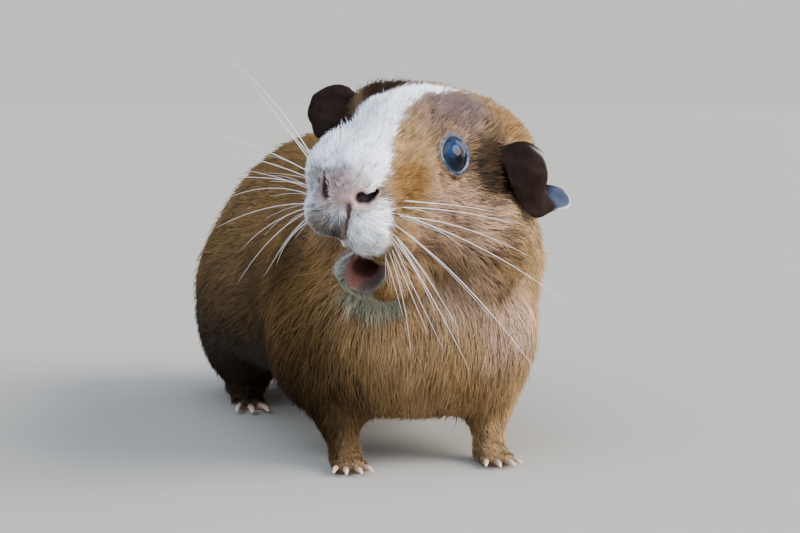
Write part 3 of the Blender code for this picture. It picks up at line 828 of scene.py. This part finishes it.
def sculpt_nose(points, normals):
    """Nostrils, their wings and the lip's cleft. Returns how deep in a nostril each point is too."""
    q = to_head(points)
    n = normals @ HEAD
    pits = np.zeros(len(points))
    for nostril in NOSTRILS:
        _, way, _, depth = nostril
        share = slit(q, nostril)
        pit = 1 - smooth(0.45, 1.15, share)
        wing = WING_HEIGHT * hump(share, 1.6, 0.45)
        q = q + (unit(np.array(way)) * depth) * pit[:, None] + n * wing[:, None]
        pits = np.maximum(pits, smooth(0.1, 0.85, pit))
    gap, along = cleft(q)
    groove = hump(gap, 0, 0.65) * (0.5 + 0.5 * along)
    q = q + n * (CLEFT_RIDGE * hump(gap, 1.7, 0.7) - CLEFT_DEPTH * groove)[:, None]
    return from_head(q), pits


def sculpt_mouth(points):
    """Deepens the gullet."""
    q = to_head(points)
    off = (q - GULLET) / np.array(GULLET_RADII)
    deep = 1 - smooth(0.3, 1.2, np.linalg.norm(off[:, (0, 2)], axis=1))
    deep *= (mouth_depth(q) > -0.1) & (np.abs(off[:, 1]) < 1)
    return from_head(q + np.array(GULLET_PUSH) * deep[:, None])


def make_skin():
    """The skin as a mesh, and how deep each vertex is in a nostril."""
    mesh = fused(joined_flesh())
    set_coordinates(mesh, relaxed(coordinates(mesh), mesh, PASSES["fused"]))
    refined(mesh, head_part)
    points = relaxed(coordinates(mesh), mesh, PASSES["halved"])
    set_coordinates(mesh, points)
    normals = normals_of(mesh)
    depth = coat_values(points)[2] + INFLATION
    bare = np.maximum(lining(to_head(points), normals @ HEAD), lids(points))
    depth *= 1 - 0.9 * np.maximum(bare, soles(points, normals))
    depth = np.where(points[:, 2] < 3, np.minimum(depth, GROUND_COAT), depth)
    set_coordinates(mesh, points - normals * depth[:, None])
    refined(mesh, fine_part)
    points = coordinates(mesh)
    points = relaxed(points, mesh, PASSES["fine"], fine_part(points).astype(float))
    points = relaxed(points, mesh, PASSES["all"])
    points = relaxed(points, mesh, PASSES["jaw"], near(to_head(points), *JAW_CORNER))
    points = sculpt_lids(sculpt_mouth(points))
    set_coordinates(mesh, points)
    points, pits = sculpt_nose(points, normals_of(mesh))
    points[:, 2] = np.maximum(points[:, 2], 0)
    set_coordinates(mesh, points)
    with edited(mesh) as bm:
        bmesh.ops.triangulate(bm, faces=bm.faces)
    mesh.shade_smooth()
    return mesh, pits


# ---- ears ----

def blend_row(rows, t):
    """The row at place t, from 0 to 1 along the rows, on a Catmull-Rom curve through them."""
    place = t * (len(rows) - 1)
    i = min(int(place), len(rows) - 2)
    f = place - i
    p, q, r, s = rows[max(i - 1, 0)], rows[i], rows[i + 1], rows[min(i + 2, len(rows) - 1)]
    square, cube = 2 * p - 5 * q + 4 * r - s, 3 * q - p - 3 * r + s
    return 0.5 * (2 * q + (r - p) * f + square * f**2 + cube * f**3)


def ear_colours(side, flat, edge, across, along):
    """Dark brown, and on the left ear a painted bluish sky reflection on the lobe, a painted highlight
    on its rim and another along the fold above it.
    """
    lobe = near(flat * (side, 1, 1), *EAR_LOBE_PATCH) * (side > 0)
    rim = (1 - smooth(0.1, 1.1, edge)).ravel()
    fold = hump(along, *EAR_FOLD) * smooth(0.18, 0.28, across)
    fold = (fold * (1 - smooth(0.5, 0.6, across))).ravel()
    # painted highlights on the lobe's rim and along the left fold
    bright = np.maximum(rim * smooth(0.1, 0.5, lobe), 0.5 * fold * (side > 0))
    # painted sky reflection on the lobe
    colour = mix(mix(EAR_BROWN, LOBE_SKY_REFLECTION, smooth(0.15, 0.6, lobe)), EAR_PAINTED_HIGHLIGHT, bright)
    return np.concatenate([colour * (1 + 0.3 * noise(flat, 2.5, seed))[:, None] for seed in (53, 54)])


def ear_arrays(side):
    """Points, faces and colours of one ear: two sheets that meet in a rounded rim."""
    rows = np.array(EAR_ROWS[side], float)
    count = EAR_QUADS[0] + 1, EAR_QUADS[1] + 1
    across = (0.5 - 0.5 * np.cos(np.pi * np.arange(count[0]) / EAR_QUADS[0]))[:, None]
    along = np.sin(0.5 * np.pi * np.arange(count[1]) / EAR_QUADS[1])[None, :]
    sheet = np.stack([bow(*blend_row(rows, t), along.T) for t in across[:, 0]])
    sheet[..., 0] *= side
    flat = sheet.reshape(-1, 3)
    ripple = 0.45 * noise(flat, 4.0, 51) + 0.22 * noise(flat, 1.6, 52)
    normal = unit(np.cross(np.gradient(sheet, axis=0), np.gradient(sheet, axis=1))) * side
    from_rim = (1 - along) * 12
    edge = np.minimum(np.minimum(across, 1 - across) * 30, from_rim)
    swell = np.sqrt(np.clip(1 - (1 - np.clip(edge / 0.7, 0, 1)) ** 2, 0, 1))
    half = EAR_THICKNESS / 2 * swell * (0.62 + 0.38 * smooth(0, 8, from_rim))
    middle = sheet + normal * ripple.reshape(*count, 1)
    front = (middle + normal * half[..., None]).reshape(-1, 3)
    back = (middle - normal * half[..., None]).reshape(-1, 3)
    index = np.arange(len(front)).reshape(count)
    corners = (index[:-1, :-1], index[1:, :-1], index[1:, 1:], index[:-1, 1:])
    quads = np.stack(corners, axis=-1).reshape(-1, 4)
    points = from_head(np.concatenate((front, back)))
    faces = np.concatenate((quads, quads[:, ::-1] + len(front)))
    return points, faces, ear_colours(side, flat, edge, across, along)


def volume(quads):
    """Six times the volume inside a closed form, below 0 where its faces look inwards."""
    total = 0
    for a, b, c, d in ([vert.co for vert in quad.verts] for quad in quads):
        total += a.dot(b.cross(c)) + a.dot(c.cross(d))
    return total


def add_ears(mesh):
    """Joins both ears to the skin's mesh, in its second material. Returns their points' colours."""
    colours = []
    with edited(mesh) as bm:
        for side in (1, -1):
            points, quads, colour = ear_arrays(side)
            verts = [bm.verts.new(point) for point in points * MM]
            made = [bm.faces.new([verts[k] for k in quad]) for quad in quads]
            if volume(made) < 0:
                bmesh.ops.reverse_faces(bm, faces=made)
            for face in made:
                face.material_index = 1
            colours.append(colour)
        bmesh.ops.triangulate(bm, faces=bm.faces)
    mesh.shade_smooth()
    return np.concatenate(colours)


# ---- coat ----

class Skin:
    """The skin's triangles, for roots and for laying hair along it."""

    def __init__(self, mesh):
        self.points = coordinates(mesh)
        self.normals = normals_of(mesh)
        mesh.calc_loop_triangles()
        self.tris = read(mesh.loop_triangles, "vertices", 3, np.int64)
        self.tree = BVHTree.FromPolygons(self.points.tolist(), self.tris.tolist())

    def roots(self):
        """Evenly scattered places on the skin, as dense as the coat is there, with their normals."""
        a, b, c = (self.points[self.tris[:, k]] for k in range(3))
        middle = (a + b + c) / 3
        cross = np.cross(b - a, c - a)
        area = np.linalg.norm(cross, axis=1) / 2
        density = coat_values(middle)[3] * (1 - furless(middle, unit(cross))) ** 2
        total = np.cumsum(area * density)
        count = int(total[-1])
        marks = (np.arange(count) + rng.uniform(0, 1, count)) * (total[-1] / count)
        pick = np.searchsorted(total, marks).clip(0, len(self.tris) - 1)
        s, t = rng.uniform(0, 1, (2, count))
        s, t = np.where(s + t > 1, 1 - s, s), np.where(s + t > 1, 1 - t, t)
        weights = np.stack((1 - s - t, s, t), axis=1)[..., None]
        tris = self.tris[pick]
        normals = (self.normals[tris] * weights).sum(axis=1)
        return (self.points[tris] * weights).sum(axis=1), unit(normals)

    def below(self, points, normals):
        """The places of the skin nearest to the points, with their normals."""
        spots, facing = np.empty_like(points), np.empty_like(points)
        find = self.tree.find_nearest
        for k, point in enumerate(points.tolist()):
            spot, normal, _, _ = find(point)
            spots[k] = spot
            facing[k] = normal
        return spots, unit(facing + 0.35 * normals)


def clumped(middles, tips, roots, reach):
    """Draws tufts towards the nearest of some leaders, so that they lie in locks."""
    leaders = np.flatnonzero(rng.uniform(0, 1, len(roots)) < 1 / LOCK)
    tree = KDTree(len(leaders))
    for k, leader in enumerate(leaders):
        tree.insert(roots[leader], k)
    tree.balance()
    chosen = leaders[[tree.find(root)[1] for root in roots.tolist()]]
    pull = (reach * rng.uniform(0.35, 1.0, len(roots)))[:, None]
    shift = roots - roots[chosen]
    tips = tips + (tips[chosen] + shift * 0.12 - tips) * pull
    middles = middles + (middles[chosen] + shift * 0.5 - middles) * pull * 0.45
    return middles, tips, chosen


def unwrap(points, where, centre, pole):
    """Places on a round unwrap of the skin about a pole, from 0 to 1."""
    middle = placed(where, centre)
    pole = unit(placed(where, np.array(centre) + pole) - middle)
    side = unit(np.cross(pole, (0.31, 0.17, 0.93)))
    away = unit(points - middle)
    reach = np.arccos(np.clip(away @ pole, -1, 1)) / np.pi * 0.49
    turn = np.arctan2(away @ np.cross(pole, side), away @ side)
    return 0.5 + np.stack((np.cos(turn), np.sin(turn)), axis=1) * reach[:, None]


RING = 2 * np.pi * np.arange(3) / 3 + np.pi / 2  # the corners of a tuft, seen along it


def tuft_arrays(root, middle, tip, normals, width):
    """Vertices, faces and normals of closed three-sided tufts that taper to a point."""
    tangents = (unit(middle - root), unit(tip - root))
    rings, facing = [], []
    for spot, tangent, normal, size in zip((root, middle), tangents, normals, TUFT_SIZES):
        side = unit(np.cross(tangent, normal))
        up = np.cross(side, tangent)
        for angle in RING:
            out = side * math.cos(angle) + up * math.sin(angle) * TUFT_HEIGHT
            rings.append(spot + out * (width * size / 2)[:, None])
            facing.append(unit(out * 0.45 + normal))
    rings.append(tip)
    facing.append(unit(normals[2] + unit(tip - middle) * 0.3))
    points = np.stack(rings, axis=1)
    normals = np.stack(facing, axis=1)
    pattern = [(0, 1, 2)]
    for k in range(3):
        n = (k + 1) % 3
        pattern += [(k, n + 3, n), (k, k + 3, n + 3), (k + 3, 6, n + 3)]
    faces = (np.array(pattern)[None] + 7 * np.arange(len(root))[:, None, None]).reshape(-1, 3)
    return points.reshape(-1, 3), faces, normals.reshape(-1, 3)


def tuft_uv(places):
    """A small patch for each tuft: across at the root, running to a point at the tip."""
    across = np.array((-0.5, 0.0, 0.5, -0.5, 0.0, 0.5, 0.0)) * UV_TUFT
    along = np.array((0, 0, 0, 0.5, 0.5, 0.5, 1)) * UV_TUFT - UV_TUFT / 2
    return (places[:, None] + np.stack((across, along), axis=1)).reshape(-1, 2)


def rim_gap(points):
    """Degrees from the nearest lids' edge out to each point, or 180 away from the eyes."""
    rim = np.full(len(points), 180.0)
    for side in (1, -1):
        gap, far, _ = lid_gap(points, side)
        rim = np.where(far < 12, np.minimum(rim, gap), rim)
    return rim


def grown_tufts(skin):
    """Root, middle and tip of every tuft, the skin's normals by them, its width and its leader."""
    root, normal = skin.roots()
    count = len(root)
    length, width, depth, _ = coat_values(root)
    short = 0.35 + 0.65 * smooth(8, 45, rim_gap(root))
    short *= 1 - 0.6 * smooth(0.2, 0.8, nose_tint(to_head(root)))
    length = length * short * rng.uniform(0.7, 1.25, count)
    depth = depth * (0.4 + 0.6 * short)
    stray = rng.uniform(0, 1, count) < STRAYS
    length = np.where(stray, length * STRAY_LENGTH, length)
    jitter = rng.normal(0, 0.17, (count, 3)) * np.where(stray, STRAY_TURN, 1.0)[:, None]

    def half_way(points, facing):
        """Half a tuft further along the lie of the hair, back on the skin."""
        way = coat_lie(points, facing) + jitter
        way = unit(way - facing * (way * facing).sum(axis=1, keepdims=True))
        return skin.below(points + way * (length * 0.5)[:, None], facing)

    middle, middle_normal = half_way(root, normal)
    tip, tip_normal = half_way(middle, middle_normal)
    lift = rng.uniform(0.65, 1.15, count) * np.where(stray, STRAY_LIFT, 1.0)
    middle = middle + middle_normal * (depth * 0.66 * lift)[:, None]
    tip = tip + tip_normal * (depth * lift * rng.uniform(0.75, 1.2, count))[:, None]
    root = root - normal * 0.2
    middle, tip, leader = clumped(middle, tip, root, np.where(depth > 1.5, 0.55, 0.35))
    return root, middle, tip, (normal, middle_normal, tip_normal), width, leader


def kept_tufts(root, middle, tip):
    """Whether each tuft stays: it must not cross an eye, the open mouth or the ground."""
    kept = (middle[:, 2] > 0.3) & (tip[:, 2] > 0.2)
    lip = to_head(root)[:, 1] < -24
    for spot in (middle, tip):
        kept &= mouth_depth(to_head(spot)) < np.where(lip, LIP_DEPTH, MOUTH_EDGE)
        for side in (1, -1):
            gap, far, _ = lid_gap(spot, side)
            kept &= ~((gap < 1) & (far < EYE_RADIUS + 4))
    return kept


def tuft_colours(root, leader):
    """Colours of every tuft's vertices. They vary by tuft and by lock, most where the ears start."""
    count = len(root)
    streaks = 0.25 + 0.26 * near(np.abs(to_head(root)), *LOCK_STREAKS)
    tone = 1 + 0.16 * rng.normal(0, 1, count) + streaks * rng.normal(0, 1, count)[leader]
    colour = coat_colour(root) * np.clip(tone, 0.3, 1.6)[:, None]
    bright = 0.75 * smooth(0.4, 0.8, colour.max(axis=1))[:, None]
    shades = np.array(TUFT_SHADES) * (1 - bright) + bright
    return colour[:, None] * shades[..., None]


def make_coat(skin, material):
    """Grows, lays, clumps and colours every tuft, and splits them into pieces."""
    root, middle, tip, normals, width, leader = grown_tufts(skin)
    kept = kept_tufts(root, middle, tip)
    colours = tuft_colours(root, leader)
    groups = np.array([name for name, *_ in coat_places()])[coat_weights(root).argmax(axis=0)]
    for name, (places, where, centre, pole) in PIECES.items():
        chosen = np.flatnonzero(kept & np.isin(groups, places))
        parts = math.ceil(len(chosen) / MOST_TUFTS)
        for n in range(parts):
            some = chosen[n::parts]
            points, faces, facing = tuft_arrays(
                root[some], middle[some], tip[some], [normal[some] for normal in normals], width[some]
            )
            label = name if parts == 1 else f"{name}_{n + 1}"
            mesh = mesh_of(label, points, faces)
            paint(mesh, colours[some].reshape(-1, 3))
            uv = tuft_uv(unwrap(root[some], where, centre, pole))
            layer = mesh.uv_layers.new(name="OFBake")
            layer.data.foreach_set("uv", uv[faces.ravel()].astype(np.float32).ravel())
            mesh.normals_split_custom_set_from_vertices(facing)
            mesh.materials.append(material)
            obj = add_object(label, mesh)
            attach(obj, "root")


# ---- eyes, claws and whiskers ----

def turned_frame(axis):
    """A turn whose third column is the axis."""
    side = unit(np.cross(axis, (0.2, 0.1, 1.0)))
    return np.stack((side, np.cross(axis, side), axis), axis=1)


def ring_triangles(rings, sides):
    """The triangles of a closed tube of rings, whose two end points come after them."""
    index = np.arange(rings * sides).reshape(rings, sides)
    after = np.roll(index, -1, axis=1)
    front, rear = np.full(sides, rings * sides), np.full(sides, rings * sides + 1)
    corners = (
        (index[:-1], after[:-1], after[1:]), (index[:-1], after[1:], index[1:]),
        (front, after[0], index[0]), (rear, index[-1], after[-1]),
    )
    return np.concatenate([np.stack(three, axis=-1).reshape(-1, 3) for three in corners])


def make_eye(side, name, material):
    """A glossy eyeball with a slightly raised cornea over a dark iris, whose upper part is painted with
    a blue reflection of the sky.
    """
    rings, sides = 47, 64
    angle = np.linspace(0, np.pi, rings + 2)[1:-1]
    turn = 2 * np.pi * np.arange(sides) / sides
    radius = EYE_RADIUS + CORNEA * (1 - smooth(35, 62, np.degrees(angle)))
    grid = np.stack((
        np.sin(angle)[:, None] * np.cos(turn), np.sin(angle)[:, None] * np.sin(turn),
        np.repeat(np.cos(angle)[:, None], sides, axis=1),
    ), axis=-1) * radius[:, None, None]
    poles = ((0, 0, EYE_RADIUS + CORNEA), (0, 0, -EYE_RADIUS))
    points = np.concatenate((grid.reshape(-1, 3), poles))
    points = points @ turned_frame(eye_axis(side)).T + EYE_CENTRES[side]
    mesh = mesh_of(name, points, ring_triangles(rings, sides)[:, ::-1])
    degrees, _ = eye_angle(points, side)
    height = ((points - EYE_CENTRES[side]) @ HEAD)[:, 2] / EYE_RADIUS
    # painted reflection: the upper iris blue as the sky mirrored in it
    iris = mix(IRIS_LOW, IRIS_SKY_REFLECTION, smooth(-0.2, 0.5, height))
    iris = mix(iris, IRIS_RING, smooth(*IRIS_EDGE, degrees))
    colours = mix(PUPIL, iris, smooth(*PUPIL_EDGE, degrees))
    paint(mesh, mix(colours, EYE_RIM, smooth(*RIM_EDGE, degrees)))
    mesh.materials.append(material)
    obj = add_object(f"shown_{name}", mesh)
    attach(obj, "root")
    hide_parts(name)


def tube(line, radii, sides, flat=1.0):
    """Points and triangles of a closed tube along a line, with a radius at each point of it."""
    line = np.array(line, float)
    tangent = unit(np.gradient(line, axis=0))
    side = unit(np.cross(tangent, (0.13, 0.21, 1.0)))
    up = np.cross(side, tangent)
    turn = 2 * np.pi * np.arange(sides) / sides
    ring = side[:, None] * np.cos(turn)[:, None] + up[:, None] * (np.sin(turn) * flat)[:, None]
    points = (line[:, None] + ring * np.array(radii)[:, None, None]).reshape(-1, 3)
    return np.concatenate((points, line[[0, -1]])), ring_triangles(len(line), sides)


def joined(parts):
    """One set of points and triangles from several."""
    points = np.concatenate([p for p, _ in parts])
    starts = np.cumsum([0] + [len(p) for p, _ in parts[:-1]])
    return points, np.concatenate([t + start for (_, t), start in zip(parts, starts)])


def make_claws(material):
    for name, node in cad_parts.items():
        if not name.startswith("claw_"):
            continue
        spots = np.unique(coordinates(node.data).round(4), axis=0)
        order = np.argsort(spots[:, 1])
        half = len(order) // 2
        tip, base = spots[order[:half]].mean(axis=0), spots[order[half:]].mean(axis=0)
        thick = np.linalg.norm(spots[order[half:]] - base, axis=1).max()
        t = np.linspace(-0.25, 1, 14)[:, None]
        shown = np.clip(t, 0, 1)
        line = base + (tip - base) * t + np.array((0, 0, 0.45)) * (4 * shown * (1 - shown))
        radii = thick * 0.92 * np.sqrt(np.clip(1.02 - shown[:, 0] ** 1.6, 0.02, 1))
        points, tris = tube(line, radii, 14, 0.9)
        points[:, 2] = np.maximum(points[:, 2], 0.05)
        mesh = mesh_of(name, points, tris)
        share = np.clip(((points - base) @ (tip - base)) / ((tip - base) @ (tip - base)), 0, 1)
        paint(mesh, mix(CLAW_ROOT, CLAW_TIP, share))
        mesh.materials.append(material)
        obj = add_object(f"shown_{name}", mesh)
        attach(obj, "root")
        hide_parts(name)


WHISKERS = (  # root and tip of each long whisker in the head's frame, the left ones first
    ((10.8, -27.5, -4.0), (49, -12, -17)), ((10.6, -27.5, -6.0), (46, -15, -33)),
    ((10.2, -27.5, -7.4), (30, -15, -36)), ((10.2, -27.0, -8.0), (26, -15, -28)),
    ((9.8, -27.0, -9.2), (23, -15, -33)), ((9.4, -27.0, -10.2), (19, -15, -31)),
    ((9.0, -26.5, -11.4), (16, -15, -37)), ((8.4, -26.0, -12.6), (12, -15, -28)),
    ((11.4, -26.5, -2.8), (33, -11, -2)), ((11.2, -26.0, -1.4), (28, -11, -0.5)),
    ((11.0, -26.5, -4.8), (37, -8, -9)), ((10.0, -28.0, -8.6), (21, -20, -24)),
    ((-10.5, -29.0, 1.6), (-43, -15, 21)), ((-11.2, -28.5, 1.0), (-35, -15, 16)),
    ((-11.5, -28.5, -0.4), (-39.5, -23.5, 4)), ((-11.8, -28.0, -1.6), (-38, -24, 0)),
    ((-12.0, -28.0, -2.8), (-35, -24, -6)), ((-12.0, -28.0, -4.2), (-38, -15, -12)),
    ((-11.8, -28.0, -5.6), (-36, -20, -18)), ((-11.4, -28.0, -7.0), (-30, -17, -22)),
    ((-10.8, -28.0, -8.2), (-29, -18, -30)), ((-10.0, -28.0, -9.2), (-23, -17, -27)),
    ((-9.6, -28.0, -10.0), (-19, -20, -23)), ((-11.6, -28.0, -3.4), (-31, -22, -3)),
)
WHISKER_RADII = (0.11, 0.05)  # at the root, of a long one and of the finer one beside it
WHISKER_TIP = 0.012


def make_whiskers(skin, material):
    """Long whiskers, with a finer and shorter one beside each."""
    parts, shades = [], []
    for root, tip in WHISKERS:
        for reach, thick in zip((1.0, rng.uniform(0.3, 0.7)), WHISKER_RADII):
            start, end = from_head(root), from_head(tip)
            end = start + (end - start) * reach + rng.normal(0, 1.8 * (1 - reach), 3)
            spot, normal, _, _ = skin.tree.find_nearest(start.tolist())
            start = np.array(spot) - np.array(normal) * 0.4
            far = np.linalg.norm(end - start)
            middle = (start + end) / 2 + np.array((0, 0, 0.05)) * far
            middle += rng.normal(0, 0.015 * far, 3)
            t = np.linspace(0, 1, 16)[:, None]
            radii = thick * (1 - t[:, 0]) ** 0.6 + WHISKER_TIP
            points, tris = tube(bow(start, middle, end, t), radii, 5)
            parts.append((points, tris))
            gone = np.linalg.norm(points - start, axis=1)
            shades.append(0.62 + 0.2 * smooth(0, 0.3 * far, gone))
    points, tris = joined(parts)
    mesh = mesh_of("whiskers", points, tris)
    paint(mesh, np.concatenate(shades)[:, None] * WHISKER_TINT)
    mesh.materials.append(material)
    obj = add_object("whiskers", mesh)
    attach(obj, "root")


# ---- materials ----

class Nodes:
    """Short ways to add nodes to a new material or to the sky."""

    def __init__(self, owner):
        owner.use_nodes = True
        self.owner = owner
        self.tree = owner.node_tree
        self.shader = self.tree.nodes.get("Principled BSDF")

    def add(self, kind, **values):
        """A node with values for its sockets, whose names have _ for a space, and its settings."""
        node = self.tree.nodes.new(f"ShaderNode{kind}")
        for key, value in values.items():
            socket = key.replace("_", " ")
            if socket in node.inputs:
                node.inputs[socket].default_value = value
            else:
                setattr(node, key, value)
        return node

    def link(self, output, target):
        self.tree.links.new(output, target)

    def set(self, **values):
        for key, value in values.items():
            self.shader.inputs[key.replace("_", " ")].default_value = value

    def grain(self, scale, detail=3.0, stretch=(1, 1, 1)):
        mapping = self.add("Mapping", Scale=stretch)
        self.link(self.add("TexCoord").outputs["Object"], mapping.inputs["Vector"])
        texture = self.add("TexNoise", Scale=scale, Detail=detail)
        self.link(mapping.outputs["Vector"], texture.inputs["Vector"])
        return texture.outputs["Fac"]

    def show_paint(self, grain, low, high):
        """Shows the colour stored on the mesh, made darker and lighter by a grain. Returns its alpha."""
        paint = self.add("Attribute", attribute_name="colour")
        level = self.add("MapRange", To_Min=low, To_Max=high)
        self.link(grain, level.inputs["Value"])
        scaled = self.add("VectorMath", operation="SCALE")
        self.link(paint.outputs["Color"], scaled.inputs[0])
        self.link(level.outputs["Result"], scaled.inputs["Scale"])
        self.link(scaled.outputs["Vector"], self.shader.inputs["Base Color"])
        return paint.outputs["Alpha"]

    def bump(self, height, strength, distance):
        node = self.add("Bump", Strength=strength, Distance=distance)
        self.link(height, node.inputs["Height"])
        self.link(node.outputs["Normal"], self.shader.inputs["Normal"])


def plain_material(name, scale, low, high, **values):
    """The painted colour with a grain of that scale, and the same shader values all over."""
    m = Nodes(bpy.data.materials.new(name))
    m.show_paint(m.grain(scale), low, high)
    m.set(**values)
    return m.owner


def skin_material(name, gloss):
    """Downy under the coat and bare on nose, lips, lids and ears, as the painted alpha tells."""
    m = Nodes(bpy.data.materials.new(name))
    fuzz = m.grain(1400, 4.0)
    bare = m.show_paint(fuzz, 0.72, 1.28)
    rough = m.add("MapRange", To_Min=0.78, To_Max=0.22)
    m.link(bare, rough.inputs["Value"])
    m.link(rough.outputs["Result"], m.shader.inputs["Roughness"])
    m.set(Specular_IOR_Level=gloss)
    m.bump(fuzz, 0.35, 0.0003)
    return m.owner


def claw_material():
    m = Nodes(bpy.data.materials.new("claw"))
    grain = m.grain(700, 4.0, (4, 0.4, 4))
    m.show_paint(grain, 0.75, 1.25)
    m.set(Roughness=0.38, Subsurface_Weight=0.1, Subsurface_Scale=0.001)
    m.bump(grain, 0.2, 0.0001)
    return m.owner


# ---- studio ----

def add_floor():
    bpy.ops.mesh.primitive_plane_add(size=60)
    floor = bpy.context.object
    floor.name = "floor"
    m = Nodes(bpy.data.materials.new("floor"))
    m.set(Base_Color=FLOOR_GREY, Roughness=0.9, Specular_IOR_Level=0.1)
    floor.data.materials.append(m.owner)


def add_suns():
    for name, (towards, strength, spread, colour) in SUNS.items():
        data = bpy.data.lights.new(name, "SUN")
        data.energy = strength
        data.angle = math.radians(spread)
        data.color = colour
        light = add_object(name, data)
        light.rotation_euler = Vector(towards).to_track_quat("Z", "Y").to_euler()


def add_sky():
    """Pale by the horizon, dimmer above it, and blue overhead in front, which the eyes mirror."""
    m = Nodes(bpy.data.worlds.new("studio"))
    bpy.context.scene.world = m.owner
    place = m.add("TexCoord").outputs["Generated"]
    split = m.add("SeparateXYZ")
    height = m.add("MapRange", From_Min=-1)
    ramp = m.add("ValToRGB")
    elements = ramp.color_ramp.elements
    for k, (spot, colour) in enumerate(SKY):
        element = elements[k] if k < 2 else elements.new(spot)
        element.position = spot
        element.color = (*colour, 1)
    across = m.add("VectorMath", operation="DOT_PRODUCT")
    across.inputs[1].default_value = SKY_TOWARDS
    start, full = (math.cos(math.radians(degrees)) for degrees in SKY_BLUE_EDGES)
    blue = m.add("MapRange", interpolation_type="SMOOTHSTEP", From_Min=start, From_Max=full)
    blend = m.add("Mix", data_type="RGBA", B=SKY_BLUE)
    m.link(place, split.inputs["Vector"])
    m.link(split.outputs["Z"], height.inputs["Value"])
    m.link(height.outputs["Result"], ramp.inputs["Fac"])
    m.link(place, across.inputs[0])
    m.link(across.outputs["Value"], blue.inputs["Value"])
    m.link(blue.outputs["Result"], blend.inputs["Factor"])
    m.link(ramp.outputs["Color"], blend.inputs["A"])
    m.link(blend.outputs["Result"], m.tree.nodes["Background"].inputs["Color"])


def add_camera():
    data = bpy.data.cameras.new("camera")
    data.lens = CAMERA_LENS
    data.sensor_width = SENSOR
    data.clip_start = 0.01
    camera = add_object("camera", data)
    camera.location = Vector((EYE_CENTRES[1] + np.array(CAMERA_OFF_EYE)) * MM)
    camera.rotation_euler = (math.radians(CAMERA_PITCH), 0, math.radians(CAMERA_TURN))
    bpy.context.scene.camera = camera


def add_skin():
    """The skin and the ears as one piece. Returns the skin for the coat to grow on."""
    mesh, pits = make_skin()
    skin = Skin(mesh)
    colours = skin_colour(skin.points, skin.normals, pits)
    bare = furless(skin.points, skin.normals) * 0.5 + 0.5 * lids(skin.points)
    ears = add_ears(mesh)
    colours = np.concatenate((colours, ears))
    bare = np.concatenate((bare, np.full(len(ears), 0.3)))
    paint(mesh, np.concatenate((colours, bare[:, None]), axis=1))
    mesh.materials.append(skin_material("skin", 0.3))
    mesh.materials.append(skin_material("ear", 0.03))
    obj = add_object("skin", mesh)
    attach(obj, "root")
    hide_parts(*FLESH, *EARS)
    return skin


bare_skin = add_skin()
make_coat(bare_skin, plain_material("coat", 900, 0.82, 1.18, Roughness=0.62, Specular_IOR_Level=0.1))
glass = plain_material("eye", 1500, 0.7, 1.3, Roughness=0.03, IOR=1.25)
make_eye(1, "eye_left", glass)
make_eye(-1, "eye_right", glass)
make_claws(claw_material())
make_whiskers(bare_skin, plain_material("whisker", 300, 0.9, 1.1, Roughness=0.35))
add_floor()
add_suns()
add_sky()
add_camera()
